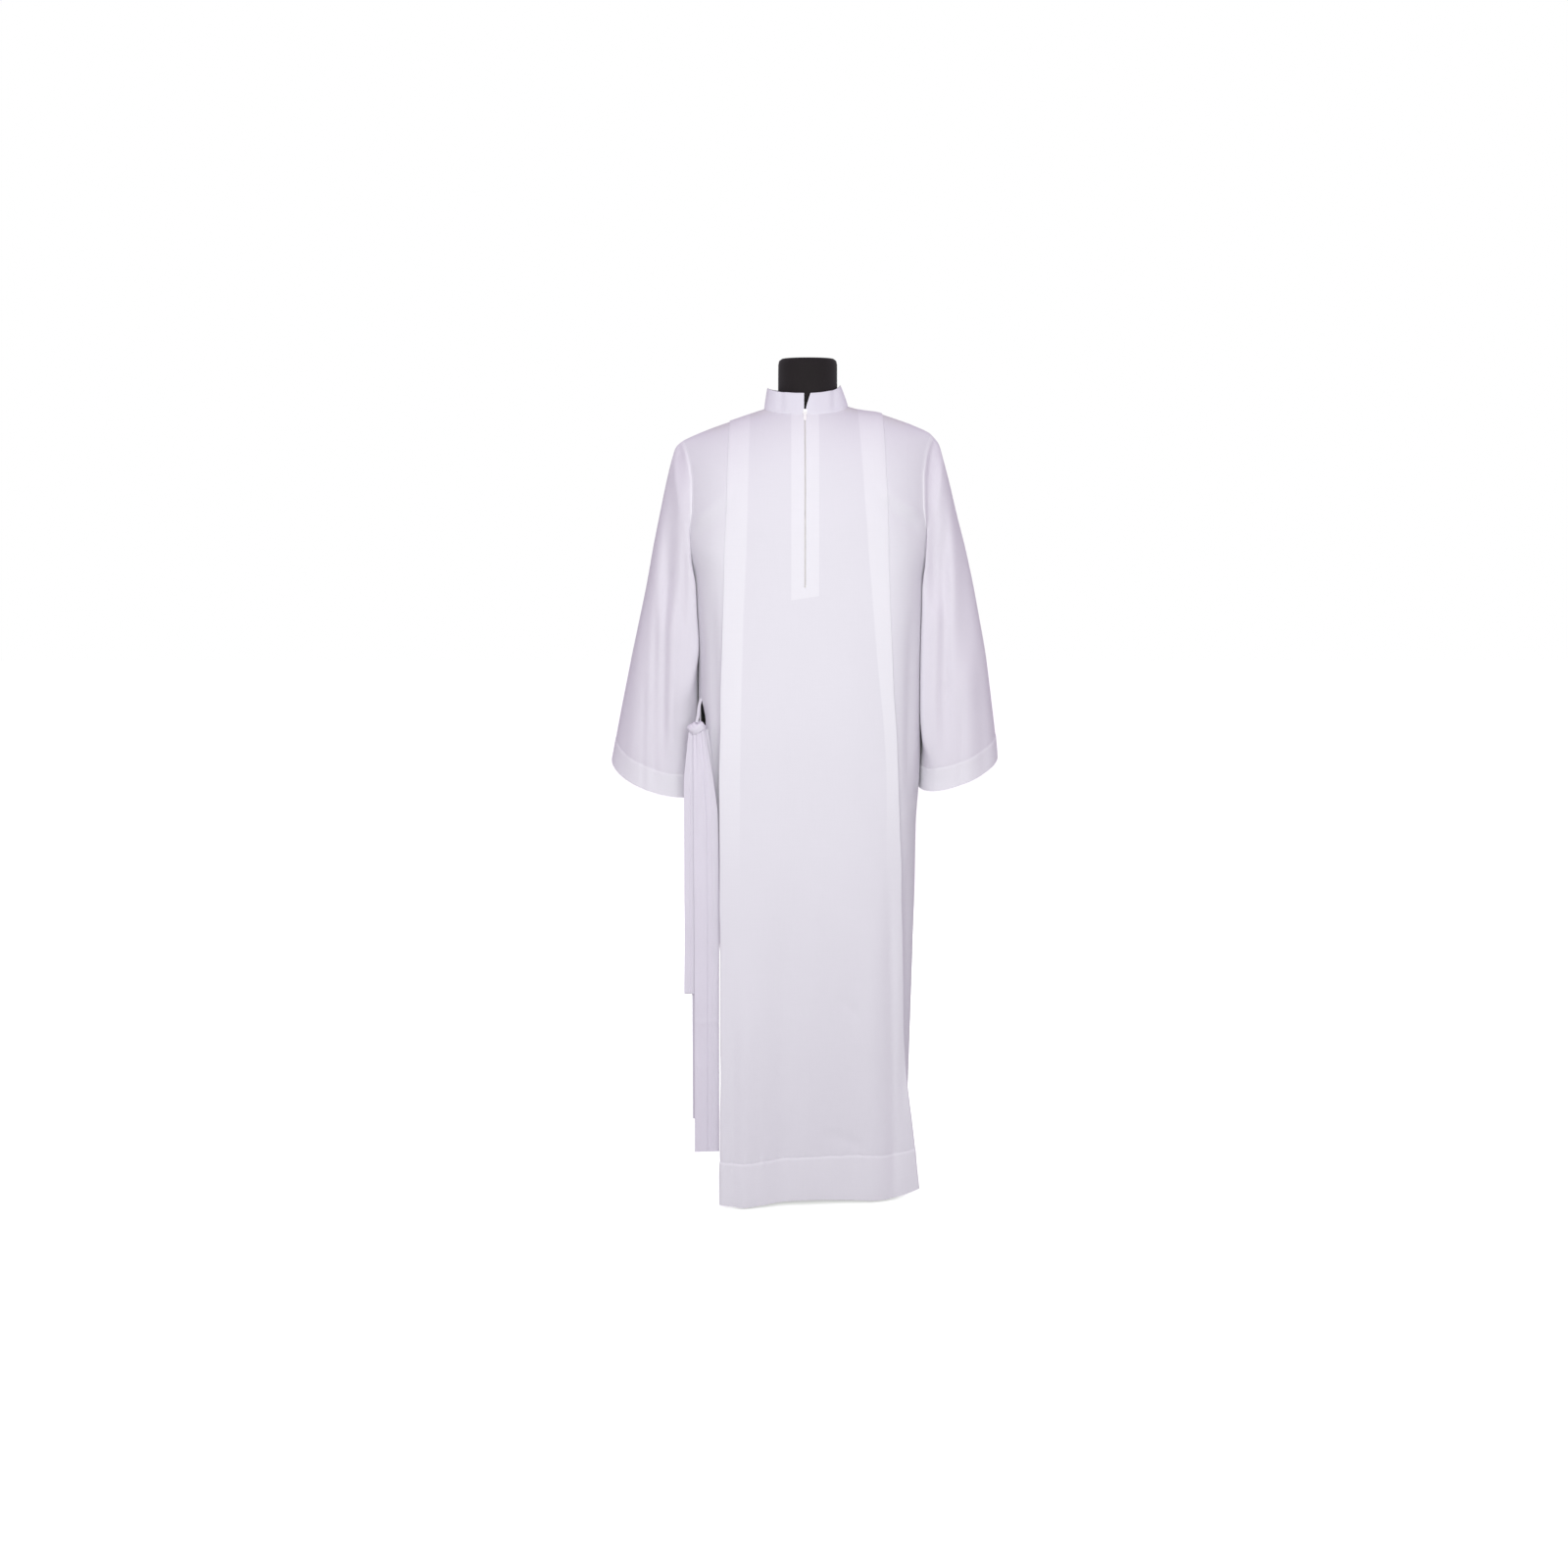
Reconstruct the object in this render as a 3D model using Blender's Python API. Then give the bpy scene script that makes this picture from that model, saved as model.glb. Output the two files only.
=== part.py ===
"""Alb on a limbless dress form: a long white vestment with a stand collar, a front zip, two knife
pleats front and back, wide sleeves, side slits and a cloth sash knotted to the left belt loop.

Metres, +Z up. The front faces -Y and the form's stand rests on z = 0, under the neck."""

import math

import bmesh
import bpy
import numpy as np

# Cloth and seams
CLOTH = 0.0012
SEAM = 0.0003
COLLAR_CLOTH = 0.0024

# Shoulders: the line falls from the neck to the sleeve, a little lower on the left
HALF_SHOULDER = 0.2295
SHOULDER_TIP = 1.4245
SHOULDER_SLOPE = 0.357
SHOULDER_TILT = 0.019
RIDGE_SOFTNESS = 0.02
SHOULDER_DROP = 0.17
ARMPIT = 1.21

# Neckline
NECK_SHARE = 0.545
NECK_FRONT = 1.4635
NECK_BACK = 1.472

# Front zip
ZIP_X = -0.0055
ZIP_END = 1.147
SLIT_HALF = 0.0015
FACING_HALF = 0.025
FACING_END = 1.135
TAPE_HALF = 0.014
TAPE_CLOTH = 0.0008
CHAIN_HALF = 0.0011
CHAIN_THICK = 0.0024
CHAIN_TRIM = 0.0008
TAPE_TRIM = 0.0012
FACING_BEHIND = CLOTH + SEAM
TAPE_BEHIND = FACING_BEHIND + CLOTH / 2 + SEAM + TAPE_CLOTH / 2
CHAIN_BEHIND = TAPE_BEHIND - TAPE_CLOTH / 2 - SEAM - CHAIN_THICK / 2

# Zip slider, with its crown and pull tab. Places are from the centre of the slider's back.
SLIDER_WIDTH = 0.007
SLIDER_DEPTH = 0.0024
SLIDER_LENGTH = 0.009
SLIDER_RISE = 0.0045
SLIDER_GAP = 0.0003
SLIDER_BOX = (
    (-SLIDER_WIDTH / 2, -SLIDER_DEPTH, -SLIDER_LENGTH / 2),
    (SLIDER_WIDTH / 2, 0.0, SLIDER_LENGTH / 2),
)
PIVOT_DEPTH = 0.00085
CROWN_HALF = 0.0007
CROWN_FOOT = -SLIDER_DEPTH + 0.0002
CROWN_TOP = -SLIDER_DEPTH - 0.0026
CROWN_UNDER = -SLIDER_DEPTH - 0.0017
CROWN_OUTLINE = (
    (CROWN_FOOT, -0.0032),
    (CROWN_TOP, -0.0024),
    (CROWN_TOP, 0.0024),
    (CROWN_FOOT, 0.0032),
    (CROWN_FOOT, 0.0019),
    (CROWN_UNDER, 0.0015),
    (CROWN_UNDER, -0.0015),
    (CROWN_FOOT, -0.0019),
)
TAB_HALF = 0.0026
TAB_NECK = 0.0022
TAB_LENGTH = 0.0175
TAB_THICK = 0.0009
TAB_BAR = 0.00045
EYE_HALF = 0.0012
EYE_END = 0.0048
TAB_TILT = math.radians(22)

# Height of each part of the side slits, with the width that stands open there
SLIT_TOP = 0.945
SLIT_BOTTOM = 0.795

# Superellipse powers of the body's side and of the form, and the width of the side's round
SIDE_POWER = 2.2
SIDE_ROUND = 0.075
FORM_POWER = 2.2


def table(names, rows):
    """The columns of a short table by name, with its rows sorted by the first one."""
    columns = np.array(sorted(rows)).T
    return dict(zip(names.split(), columns))


def read(columns, name, place, by="height"):
    """A column's value at a place between its rows."""
    return float(np.interp(place, columns[by], columns[name]))


# How far the shoulder line bulges above a straight one
SHOULDER_SWELL = table(
    "across left right",
    (
        (0.075, 0.0000, 0.0000),
        (0.088, 0.0005, 0.0006),
        (0.103, 0.0012, 0.0031),
        (0.136, 0.0024, 0.0086),
        (0.179, 0.0034, 0.0085),
        (0.202, 0.0028, 0.0072),
        (0.222, 0.0016, 0.0048),
        (0.232, 0.0000, 0.0000),
    ),
)

# Pleated panels: half-widths to the pleats' folds and to their inner edges, and depth from the side seams
FRONT = table(
    "height left_fold left_under left_depth centre_depth right_fold right_under right_depth",
    (
        (1.480, 0.141, 0.103, 0.100, 0.112, 0.134, 0.086, 0.100),
        (1.330, 0.146, 0.107, 0.106, 0.122, 0.141, 0.098, 0.106),
        (1.255, 0.149, 0.109, 0.114, 0.130, 0.144, 0.105, 0.114),
        (1.065, 0.155, 0.117, 0.124, 0.136, 0.151, 0.121, 0.120),
        (0.800, 0.161, 0.123, 0.135, 0.138, 0.166, 0.143, 0.119),
        (0.550, 0.161, 0.124, 0.142, 0.138, 0.175, 0.145, 0.110),
        (0.256, 0.161, 0.123, 0.148, 0.134, 0.184, 0.156, 0.100),
        (0.140, 0.162, 0.123, 0.149, 0.131, 0.198, 0.160, 0.095),
        (0.000, 0.163, 0.123, 0.150, 0.128, 0.212, 0.163, 0.090),
    ),
)
BACK = table(
    "height left_fold left_under left_depth centre_depth right_fold right_under right_depth",
    (
        (1.480, 0.140, 0.102, 0.088, 0.098, 0.134, 0.092, 0.088),
        (1.380, 0.144, 0.105, 0.100, 0.112, 0.139, 0.098, 0.100),
        (1.280, 0.148, 0.108, 0.107, 0.119, 0.144, 0.104, 0.107),
        (1.100, 0.152, 0.113, 0.106, 0.115, 0.150, 0.112, 0.106),
        (0.900, 0.155, 0.117, 0.114, 0.123, 0.156, 0.119, 0.114),
        (0.600, 0.155, 0.119, 0.126, 0.134, 0.163, 0.126, 0.126),
        (0.300, 0.153, 0.118, 0.134, 0.141, 0.168, 0.131, 0.132),
        (0.000, 0.152, 0.117, 0.140, 0.147, 0.172, 0.134, 0.136),
    ),
)

# Widest half-width of the body on each side, and where the left side seam lies along it
SIDES = table(
    "height left_width right_width left_seam",
    (
        (1.300, 0.2360, 0.2360, 0.00),
        (1.250, 0.2320, 0.2335, 0.00),
        (1.210, 0.2235, 0.2265, 0.00),
        (1.170, 0.2130, 0.2185, -0.04),
        (1.100, 0.2080, 0.2155, -0.12),
        (1.020, 0.2035, 0.2130, -0.22),
        (0.940, 0.2030, 0.2126, -0.29),
        (0.890, 0.2025, 0.2126, -0.30),
        (0.800, 0.1930, 0.2110, -0.28),
        (0.700, 0.1830, 0.2050, -0.22),
        (0.600, 0.1760, 0.2040, -0.18),
        (0.450, 0.1650, 0.2010, -0.12),
        (0.250, 0.1600, 0.1960, -0.06),
        (0.000, 0.1600, 0.1890, -0.02),
    ),
)

# Where the armhole's edge lies along the body's side, as it climbs from the armpit to the shoulder tip
ARMHOLE = table(
    "climb turn",
    (
        (0.000, 0.000),
        (0.015, 0.110),
        (0.050, 0.200),
        (0.120, 0.290),
        (0.230, 0.370),
        (0.420, 0.430),
        (0.600, 0.430),
        (0.740, 0.400),
        (0.870, 0.345),
        (1.000, 0.225),
    ),
)

# Distance between the layers of a pleat, and how far the panels wave at the hem
LAYERS = table(
    "height spacing wave",
    (
        (1.480, 0.0016, 0.000),
        (1.250, 0.0021, 0.000),
        (0.900, 0.0030, 0.001),
        (0.500, 0.0045, 0.003),
        (0.000, 0.0070, 0.006),
    ),
)

# Width that the left side slit stands open
SLIT = table(
    "height gap",
    (
        (SLIT_BOTTOM, SEAM),
        (0.830, 0.004),
        (0.870, 0.008),
        (0.905, 0.012),
        (0.930, 0.011),
        (SLIT_TOP, SEAM),
    ),
)
RIGHT_SLIT_SHARE = 0.4
SIDE_ARC = 0.12

# Height of the front's hem above the floor, from left to right
HEM = table(
    "across height",
    (
        (-0.165, 0.0090),
        (-0.120, 0.0035),
        (-0.045, 0.0085),
        (0.000, 0.0095),
        (0.100, 0.0060),
        (0.145, 0.0045),
        (0.180, 0.0085),
        (0.211, 0.0165),
    ),
)
SIDE_HEM = 0.010

# Sleeve sections: share of the length, place of the outer edge on each side, height of the inner edge,
# front and back depth from a centre, and how far the front of the section hangs below its middle
SLEEVE_ROWS = table(
    "share left_out right_out left_height right_height inner_height front back centre left_slant right_slant",
    (
        (0.08, 0.2490, 0.2490, 1.388, 1.388, 1.196, 0.071, 0.071, 0.001, 0.000, 0.000),
        (0.16, 0.2610, 0.2620, 1.342, 1.342, 1.172, 0.073, 0.075, 0.003, 0.001, 0.001),
        (0.26, 0.2740, 0.2770, 1.283, 1.283, 1.132, 0.074, 0.077, 0.006, 0.004, 0.003),
        (0.36, 0.2862, 0.2926, 1.226, 1.226, 1.086, 0.075, 0.079, 0.009, 0.007, 0.005),
        (0.46, 0.2985, 0.3080, 1.161, 1.161, 1.032, 0.076, 0.080, 0.012, 0.011, 0.008),
        (0.57, 0.3130, 0.3215, 1.094, 1.094, 0.978, 0.077, 0.081, 0.014, 0.015, 0.010),
        (0.68, 0.3285, 0.3349, 1.024, 1.024, 0.925, 0.078, 0.081, 0.016, 0.019, 0.013),
        (0.79, 0.3430, 0.3446, 0.955, 0.956, 0.873, 0.078, 0.081, 0.018, 0.024, 0.015),
        (0.90, 0.3566, 0.3532, 0.888, 0.891, 0.825, 0.078, 0.081, 0.019, 0.029, 0.018),
        (0.97, 0.3645, 0.3582, 0.846, 0.851, 0.795, 0.077, 0.080, 0.020, 0.032, 0.020),
        (1.00, 0.3685, 0.3597, 0.826, 0.832, 0.778, 0.077, 0.080, 0.020, 0.033, 0.020),
    ),
)
SLEEVE_CLEAR = 0.0045
BACK_SLANT = 0.5
ARMHOLE_GAP_TOP = 0.0009
ARMHOLE_GAP_PIT = 0.0019
HEAD_BULGE = 0.003
PIT_SHARE = 0.4

# Collar: its height, how far its top ring is drawn in and moved, and the edges of the V at the front
COLLAR_HEIGHT = 0.038
COLLAR_LIFT = 0.0011
COLLAR_CLIMBS = (0.0, 0.35, 0.7, 1.0)
COLLAR_TOP_SHARE = 0.87
COLLAR_TOP_SHIFT = (-0.004, 0.003)
NECK_CENTRE = (-0.003, -0.006)
COLLAR_ENDS = table(
    "climb left_end right_end",
    (
        (0.0, -0.0072, -0.0045),
        (0.2, -0.0072, -0.0040),
        (1.0, -0.0072, 0.0044),
    ),
)

# Sash: heights, centres and widths of its hanging stretches, and how far in front of the seams they hang
END_FRONT_ROWS = (
    (0.8885, -0.1985, 0.020),
    (0.8560, -0.1955, 0.027),
    (0.8000, -0.1905, 0.037),
    (0.7300, -0.1868, 0.045),
    (0.5200, -0.1858, 0.046),
    (0.3400, -0.1868, 0.046),
    (0.2100, -0.1872, 0.046),
    (0.1015, -0.1876, 0.046),
)
END_BACK_ROWS = (
    (0.8889, -0.2045, 0.020),
    (0.8460, -0.2015, 0.030),
    (0.7860, -0.1950, 0.042),
    (0.7000, -0.1925, 0.045),
    (0.4500, -0.1920, 0.045),
    (0.1614, -0.1920, 0.045),
)
BIGHT_ROWS = (
    (0.8881, -0.2070, 0.020),
    (0.8510, -0.2060, 0.032),
    (0.7960, -0.2045, 0.044),
    (0.6860, -0.2043, 0.045),
    (0.5300, -0.2050, 0.045),
    (0.4045, -0.2064, 0.045),
)
END_FRONT_DEPTH = -0.1220
BIGHT_DEPTHS = (-0.1160, -0.1115)
END_BACK_DEPTH = -0.1065
KNOT = (-0.2025, -0.1140, 0.8980)
KNOT_HALF = (0.0197, 0.0125, 0.0098)
KNOT_POWER = 2.6
LOOP_WIDTH = 0.006
LOOP_STEPS = 5
LOOP_LEFT_END = (-0.2030, -0.1110, 0.9083)
LOOP_RIGHT_FALL = (0.0006, -0.001, -0.055)

# Dress form: height, half-width, front and back of its sections below and above the shoulder line
FORM_SIDES = 36
FORM_ROWS = (
    (0.780, 0.150, 0.090, 0.088),
    (0.785, 0.158, 0.097, 0.094),
    (0.800, 0.171, 0.105, 0.100),
    (0.840, 0.187, 0.113, 0.106),
    (0.885, 0.195, 0.116, 0.108),
    (0.925, 0.194, 0.115, 0.105),
    (1.000, 0.184, 0.109, 0.099),
    (1.080, 0.176, 0.106, 0.094),
    (1.170, 0.179, 0.112, 0.098),
    (1.260, 0.186, 0.114, 0.101),
    (1.330, 0.190, 0.102, 0.096),
    (1.380, 0.192, 0.084, 0.082),
    (1.405, 0.190, 0.068, 0.068),
    (1.420, 0.186, 0.056, 0.056),
    (1.432, 0.179, 0.047, 0.047),
    (1.478, 0.067, 0.048, 0.043),
    (1.486, 0.058, 0.051, 0.044),
    (1.500, 0.0545, 0.053, 0.044),
    (1.556, 0.0540, 0.053, 0.044),
    (1.5625, 0.0525, 0.0515, 0.0425),
    (1.5660, 0.0480, 0.047, 0.038),
)
FORM_CLEAR = 0.0012
FORM_FOLLOW = ((1.33, 1.40, 1.478, 1.50), (0, 1, 1, 0))
FORM_SHOULDER_ROWS = ((1.4395, 0.040), (1.447, 0.040), (1.455, 0.040), (1.463, 0.041), (1.471, 0.043))

# Stand, as turned profiles of radius and height
PLATE_PROFILE = ((0, 0.7715), (0.050, 0.7715), (0.055, 0.7745), (0.055, 0.7797), (0, 0.7797))
POLE_PROFILE = ((0, 0.0453), (0.0125, 0.0453), (0.014, 0.0470), (0.014, 0.7712), (0, 0.7712))
BASE_PROFILE = (
    (0, 0.0),
    (0.1025, 0.0),
    (0.104, 0.0015),
    (0.104, 0.0065),
    (0.100, 0.0105),
    (0.040, 0.0145),
    (0.026, 0.020),
    (0.022, 0.030),
    (0.022, 0.0435),
    (0.0205, 0.045),
    (0, 0.045),
)

LOW_ROWS = (0, 0.042, 0.085, 0.17, 0.26, 0.36, 0.46, 0.56, 0.66, 0.735, SLIT_BOTTOM, 0.83, 0.87, 0.905, 0.93)
LOW_ROWS += (SLIT_TOP, 1.0, 1.065, FACING_END, ZIP_END, 1.178, ARMPIT)
HIGH_ROWS = (0.015, 0.05, 0.12, 0.23, 0.4, 0.56, 0.7, 0.8, 0.87, 0.927, 0.968, 0.992, 1.0)

# A half panel's columns from its side seam to its centre. Share is how far along the side or the
# panel, layer counts inwards, and lean and facing turn the wall at a fold.
HALF_COLUMNS = (
    ("side", 0.0, 2, 0, 1),
    ("side", 0.2, 2, 0, 1),
    ("side", 0.4, 2, 0, 1),
    ("side", 0.6, 2, 0, 1),
    ("side", 0.8, 2, 0, 1),
    ("under", 1.0, 2, 1, 1),
    ("under", 1.0, 1, 1, -1),
    ("fold", 1.0, 1, 1, -1),
    ("fold", 1.0, 0, 1, 1),
    ("panel", 0.78, 0, 0, 1),
    ("panel", NECK_SHARE, 0, 0, 1),
    ("panel", NECK_SHARE * 0.951, 0, 0, 1),
    ("panel", NECK_SHARE * 0.809, 0, 0, 1),
    ("panel", NECK_SHARE * 0.588, 0, 0, 1),
    ("panel", NECK_SHARE * 0.309, 0, 0, 1),
    ("slit", 0.0, 0, 0, 1),
)


def clear_scene():
    for item in list(bpy.data.objects):
        bpy.data.objects.remove(item, do_unlink=True)


def plain_material(name, colour, roughness, metallic=0.0):
    material = bpy.data.materials.new(name)
    material.use_nodes = True
    shader = material.node_tree.nodes["Principled BSDF"]
    shader.inputs["Base Color"].default_value = (*colour, 1.0)
    shader.inputs["Roughness"].default_value = roughness
    shader.inputs["Metallic"].default_value = metallic
    return material


def add_object(name, mesh, material):
    item = bpy.data.objects.new(name, mesh)
    mesh.materials.append(material)
    bpy.context.scene.collection.objects.link(item)
    return item


def mesh_from(name, points, faces, smooth=True):
    """A mesh with its faces turned outwards."""
    mesh = bpy.data.meshes.new(name)
    mesh.from_pydata([tuple(point) for point in points], [], faces)
    work = bmesh.new()
    work.from_mesh(mesh)
    bmesh.ops.recalc_face_normals(work, faces=work.faces)
    work.to_mesh(mesh)
    work.free()
    if smooth:
        mesh.shade_smooth()
        mesh.set_sharp_from_angle(angle=math.radians(50))
    return mesh


def wall_mesh(name, outer, inner, closed=False, skip=()):
    """A closed wall between two grids of points, rows by columns. Skipped cells are left open."""
    rows, columns = outer.shape[:2]
    across = columns if closed else columns - 1
    size = rows * columns
    cells = [(i, j) for i in range(rows - 1) for j in range(across) if (i, j) not in skip]
    faces = []
    edges = {}
    points = np.concatenate([outer.reshape(-1, 3), inner.reshape(-1, 3)])
    for i, j in cells:
        k = (j + 1) % columns
        ring = (i * columns + j, i * columns + k, (i + 1) * columns + k, (i + 1) * columns + j)
        spans = [np.linalg.norm(points[ring[place]] - points[ring[place + 2]]) for place in (0, 1)]
        turned = ring if spans[0] <= spans[1] else ring[1:] + ring[:1]
        for half in ((0, 1, 2), (0, 2, 3)):
            triangle = tuple(turned[place] for place in half)
            faces.append(triangle)
            faces.append(tuple(size + corner for corner in reversed(triangle)))
        for start, end in zip(ring, ring[1:] + ring[:1]):
            key = (min(start, end), max(start, end))
            edges[key] = None if key in edges else (start, end)
    for edge in edges.values():
        if edge:
            start, end = edge
            faces.append((end, start, start + size, end + size))
    used = sorted({corner for face in faces for corner in face})
    order = {corner: place for place, corner in enumerate(used)}
    faces = [tuple(order[corner] for corner in face) for face in faces]
    return mesh_from(name, points[used], faces)


def unit(vectors):
    return vectors / np.linalg.norm(vectors, axis=-1, keepdims=True)


def side_lift(x):
    """How far the shoulder line at x lies above an even straight one."""
    return SHOULDER_TILT * x + read(SHOULDER_SWELL, side_name(x), abs(x), by="across")


def ridge(x):
    """Height of the shoulder line at x."""
    return SHOULDER_TIP + (HALF_SHOULDER - math.hypot(x, RIDGE_SOFTNESS)) * SHOULDER_SLOPE + side_lift(x)


def rounding(below):
    """Share of the body's depth that is reached this far below the shoulder line."""
    share = min(max(below / SHOULDER_DROP, 0.0), 1.0)
    return math.sqrt(1 - (1 - share) ** 2)


def quarter(angle):
    """Share of its width that a quarter superellipse reaches at an angle."""
    sine, cosine = math.sin(angle), math.cos(angle)
    return sine * (abs(sine) ** SIDE_POWER + abs(cosine) ** SIDE_POWER) ** (-1 / SIDE_POWER)


def side_name(side):
    return "left" if side < 0 else "right"


def panel_depth(panel, x, height):
    """Depth of a panel's outer layer: a curve through its two folds and its centre, with soft waves."""
    left, right = -read(panel, "left_fold", height), read(panel, "right_fold", height)
    share = (x - left) / (right - left)
    start = read(panel, "left_depth", height) * (1 - share) * (1 - 2 * share)
    middle = read(panel, "centre_depth", height) * 4 * share * (1 - share)
    end = read(panel, "right_depth", height) * share * (2 * share - 1)
    wave = read(LAYERS, "wave", height) * math.sin(2 * math.pi * (1.5 * share + 0.1))
    return start + middle + end + wave


def body_depth(panel, side, x, z, at, drop):
    """Depth of the body at x: its panel first, then a quarter superellipse out to the widest place."""
    width = read(SIDES, side_name(side) + "_width", at)
    start = min(read(panel, side_name(side) + "_fold", at), width - SIDE_ROUND)
    start = max(start, read(panel, side_name(side) + "_under", at))
    if abs(x) < start:
        return panel_depth(panel, x, z) - drop
    along = min((abs(x) - start) / (width - start), 1.0)
    return (panel_depth(panel, x, z) - drop) * (1 - along**SIDE_POWER) ** (1 / SIDE_POWER)


def neckline(half_width, x, lowest):
    """Height of the neckline at x: a tilted ring between the shoulder seams."""
    turn = min(abs(x) / half_width, 1.0)
    top = ridge(math.copysign(half_width, x))
    return top - (top - lowest) * math.sqrt(1 - turn * turn)


class Body:
    """The mid-surface of the front or of the back."""

    def __init__(self, panel, facing, neck_lowest):
        self.panel = panel
        self.facing = facing
        self.neck_lowest = neck_lowest

    def panel_x(self, side, share, table_height):
        fold = read(self.panel, side_name(side) + "_fold", table_height)
        return side * share * fold + ZIP_X * (1 - share) ** 2

    def side_gap(self, side, height):
        gap = SEAM
        if SLIT_BOTTOM < height < SLIT_TOP:
            gap = max(SEAM, read(SLIT, "gap", height) * (1 if side < 0 else RIGHT_SLIT_SHARE))
        return gap / 2 / SIDE_ARC

    def edge_turn(self, side, height, high):
        """Where the side ends, as turns from the front pleat (-1) past the widest place (0) to the back one."""
        if not high:
            seam = read(SIDES, "left_seam", height) if side < 0 else 0.0
            return seam + self.facing * self.side_gap(side, height)
        climb = (height - ARMPIT) / (SHOULDER_TIP - ARMPIT)
        return self.facing * read(ARMHOLE, "turn", climb, by="climb")

    def place(self, side, column, row):
        """A column's point, in a low row by its height or in a high row by its share of the way up."""
        kind, share, layer = column[:3]
        high = row > ARMPIT
        climb = row - ARMPIT if high else 0.0
        at = ARMPIT + climb * (SHOULDER_TIP - ARMPIT) if high else row
        panel, facing = self.panel, self.facing
        spacing = read(LAYERS, "spacing", at)
        if kind == "side":
            edge = self.edge_turn(side, at, high)
            turn = edge + (facing - edge) * share
            owner = panel if turn * facing >= 0 else OTHER[facing]
            under = read(owner, side_name(side) + "_under", at)
            width = read(SIDES, side_name(side) + "_width", at)
            x = side * (under + (width - under) * quarter((1 - abs(turn)) * math.pi / 2))
        elif kind == "under":
            x = side * read(panel, side_name(side) + "_under", at)
        elif kind == "slit":
            x = ZIP_X + side * SLIT_HALF
        else:
            x = self.panel_x(side, share, at)
        drop = layer * spacing
        top = ridge(x) - drop
        if kind == "slit" or (kind == "panel" and share <= NECK_SHARE):
            neck = abs(self.panel_x(side, NECK_SHARE, SHOULDER_TIP))
            top = neckline(neck, x, self.neck_lowest)
        if high:
            z = ARMPIT + climb * (top - ARMPIT)
        else:
            hem = read(HEM, "height", x, by="across") if facing < 0 else SIDE_HEM
            if kind == "side":
                hem = SIDE_HEM + (hem - SIDE_HEM) * share
            z = row + hem * (1 - row / ARMPIT)
        if kind == "side":
            sign = math.copysign(1, turn) if turn else facing
            depth = sign * body_depth(owner, side, x, z, at, drop)
        else:
            depth = facing * (panel_depth(panel, x, z) - drop)
        y = depth * rounding(ridge(x) - drop - z) + facing * SEAM / 2 * climb
        return x, y, z


OTHER = {-1: BACK, 1: FRONT}
FRONT_BODY = Body(FRONT, -1, NECK_FRONT)
BACK_BODY = Body(BACK, 1, NECK_BACK)
ROWS = LOW_ROWS + tuple(ARMPIT + share for share in HIGH_ROWS)


def panel_grid(body):
    """The columns of the front or back from edge to edge, with their points and normals."""
    halves = (-1, 1) if body.facing < 0 else (1, -1)
    columns = [(halves[0], column) for column in HALF_COLUMNS]
    columns += [(halves[1], column) for column in reversed(HALF_COLUMNS)]
    middle = np.array([[body.place(side, column, row) for side, column in columns] for row in ROWS])
    rows = np.gradient(middle, axis=0)
    normal = np.empty_like(middle)
    layers = [column[2] for side, column in columns]
    start = 0
    while start < len(columns):
        end = start
        while end + 1 < len(columns) and layers[end + 1] == layers[start]:
            end += 1
        run = slice(start, end + 1)
        across = np.gradient(middle[:, run], axis=1)
        normal[:, run] = unit(np.cross(across, rows[:, run]))
        start = end + 1
    normal *= np.array([-1.0 if layer == 1 else 1.0 for layer in layers])[None, :, None]
    for place, (side, column) in enumerate(columns):
        if column[0] != "slit" and not (column[0] == "panel" and column[1] < NECK_SHARE):
            normal[-1, place] = (0, 0, 1)
    return columns, middle, normal


def pleated_panel(name, body, material):
    """The front or the back as one wall that folds over itself at each pleat."""
    columns, middle, normal = body.grid
    lean = np.array([side * column[3] for side, column in columns], float)
    facing = np.array([column[4] for side, column in columns], float)
    step = normal * facing[None, :, None] + lean[None, :, None] * np.array((1.0, 0.0, 0.0))
    outer = middle + step * CLOTH / 2
    inner = middle - step * CLOTH / 2
    skip = ()
    if body.facing < 0:
        slit = len(HALF_COLUMNS) - 1
        skip = {(row, slit) for row in range(ROWS.index(ZIP_END), len(ROWS) - 1)}
    return add_object(name, wall_mesh(name, outer, inner, skip=skip), material)


def skins(middle, normal, thickness):
    return middle + normal * thickness / 2, middle - normal * thickness / 2


def grid_normals(middle, closed=False):
    """Normals of a grid of points, from its rows and columns."""
    rows = np.gradient(middle, axis=0)
    if closed:
        across = np.roll(middle, -1, axis=1) - np.roll(middle, 1, axis=1)
    else:
        across = np.gradient(middle, axis=1)
    return unit(np.cross(across, rows))


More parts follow.
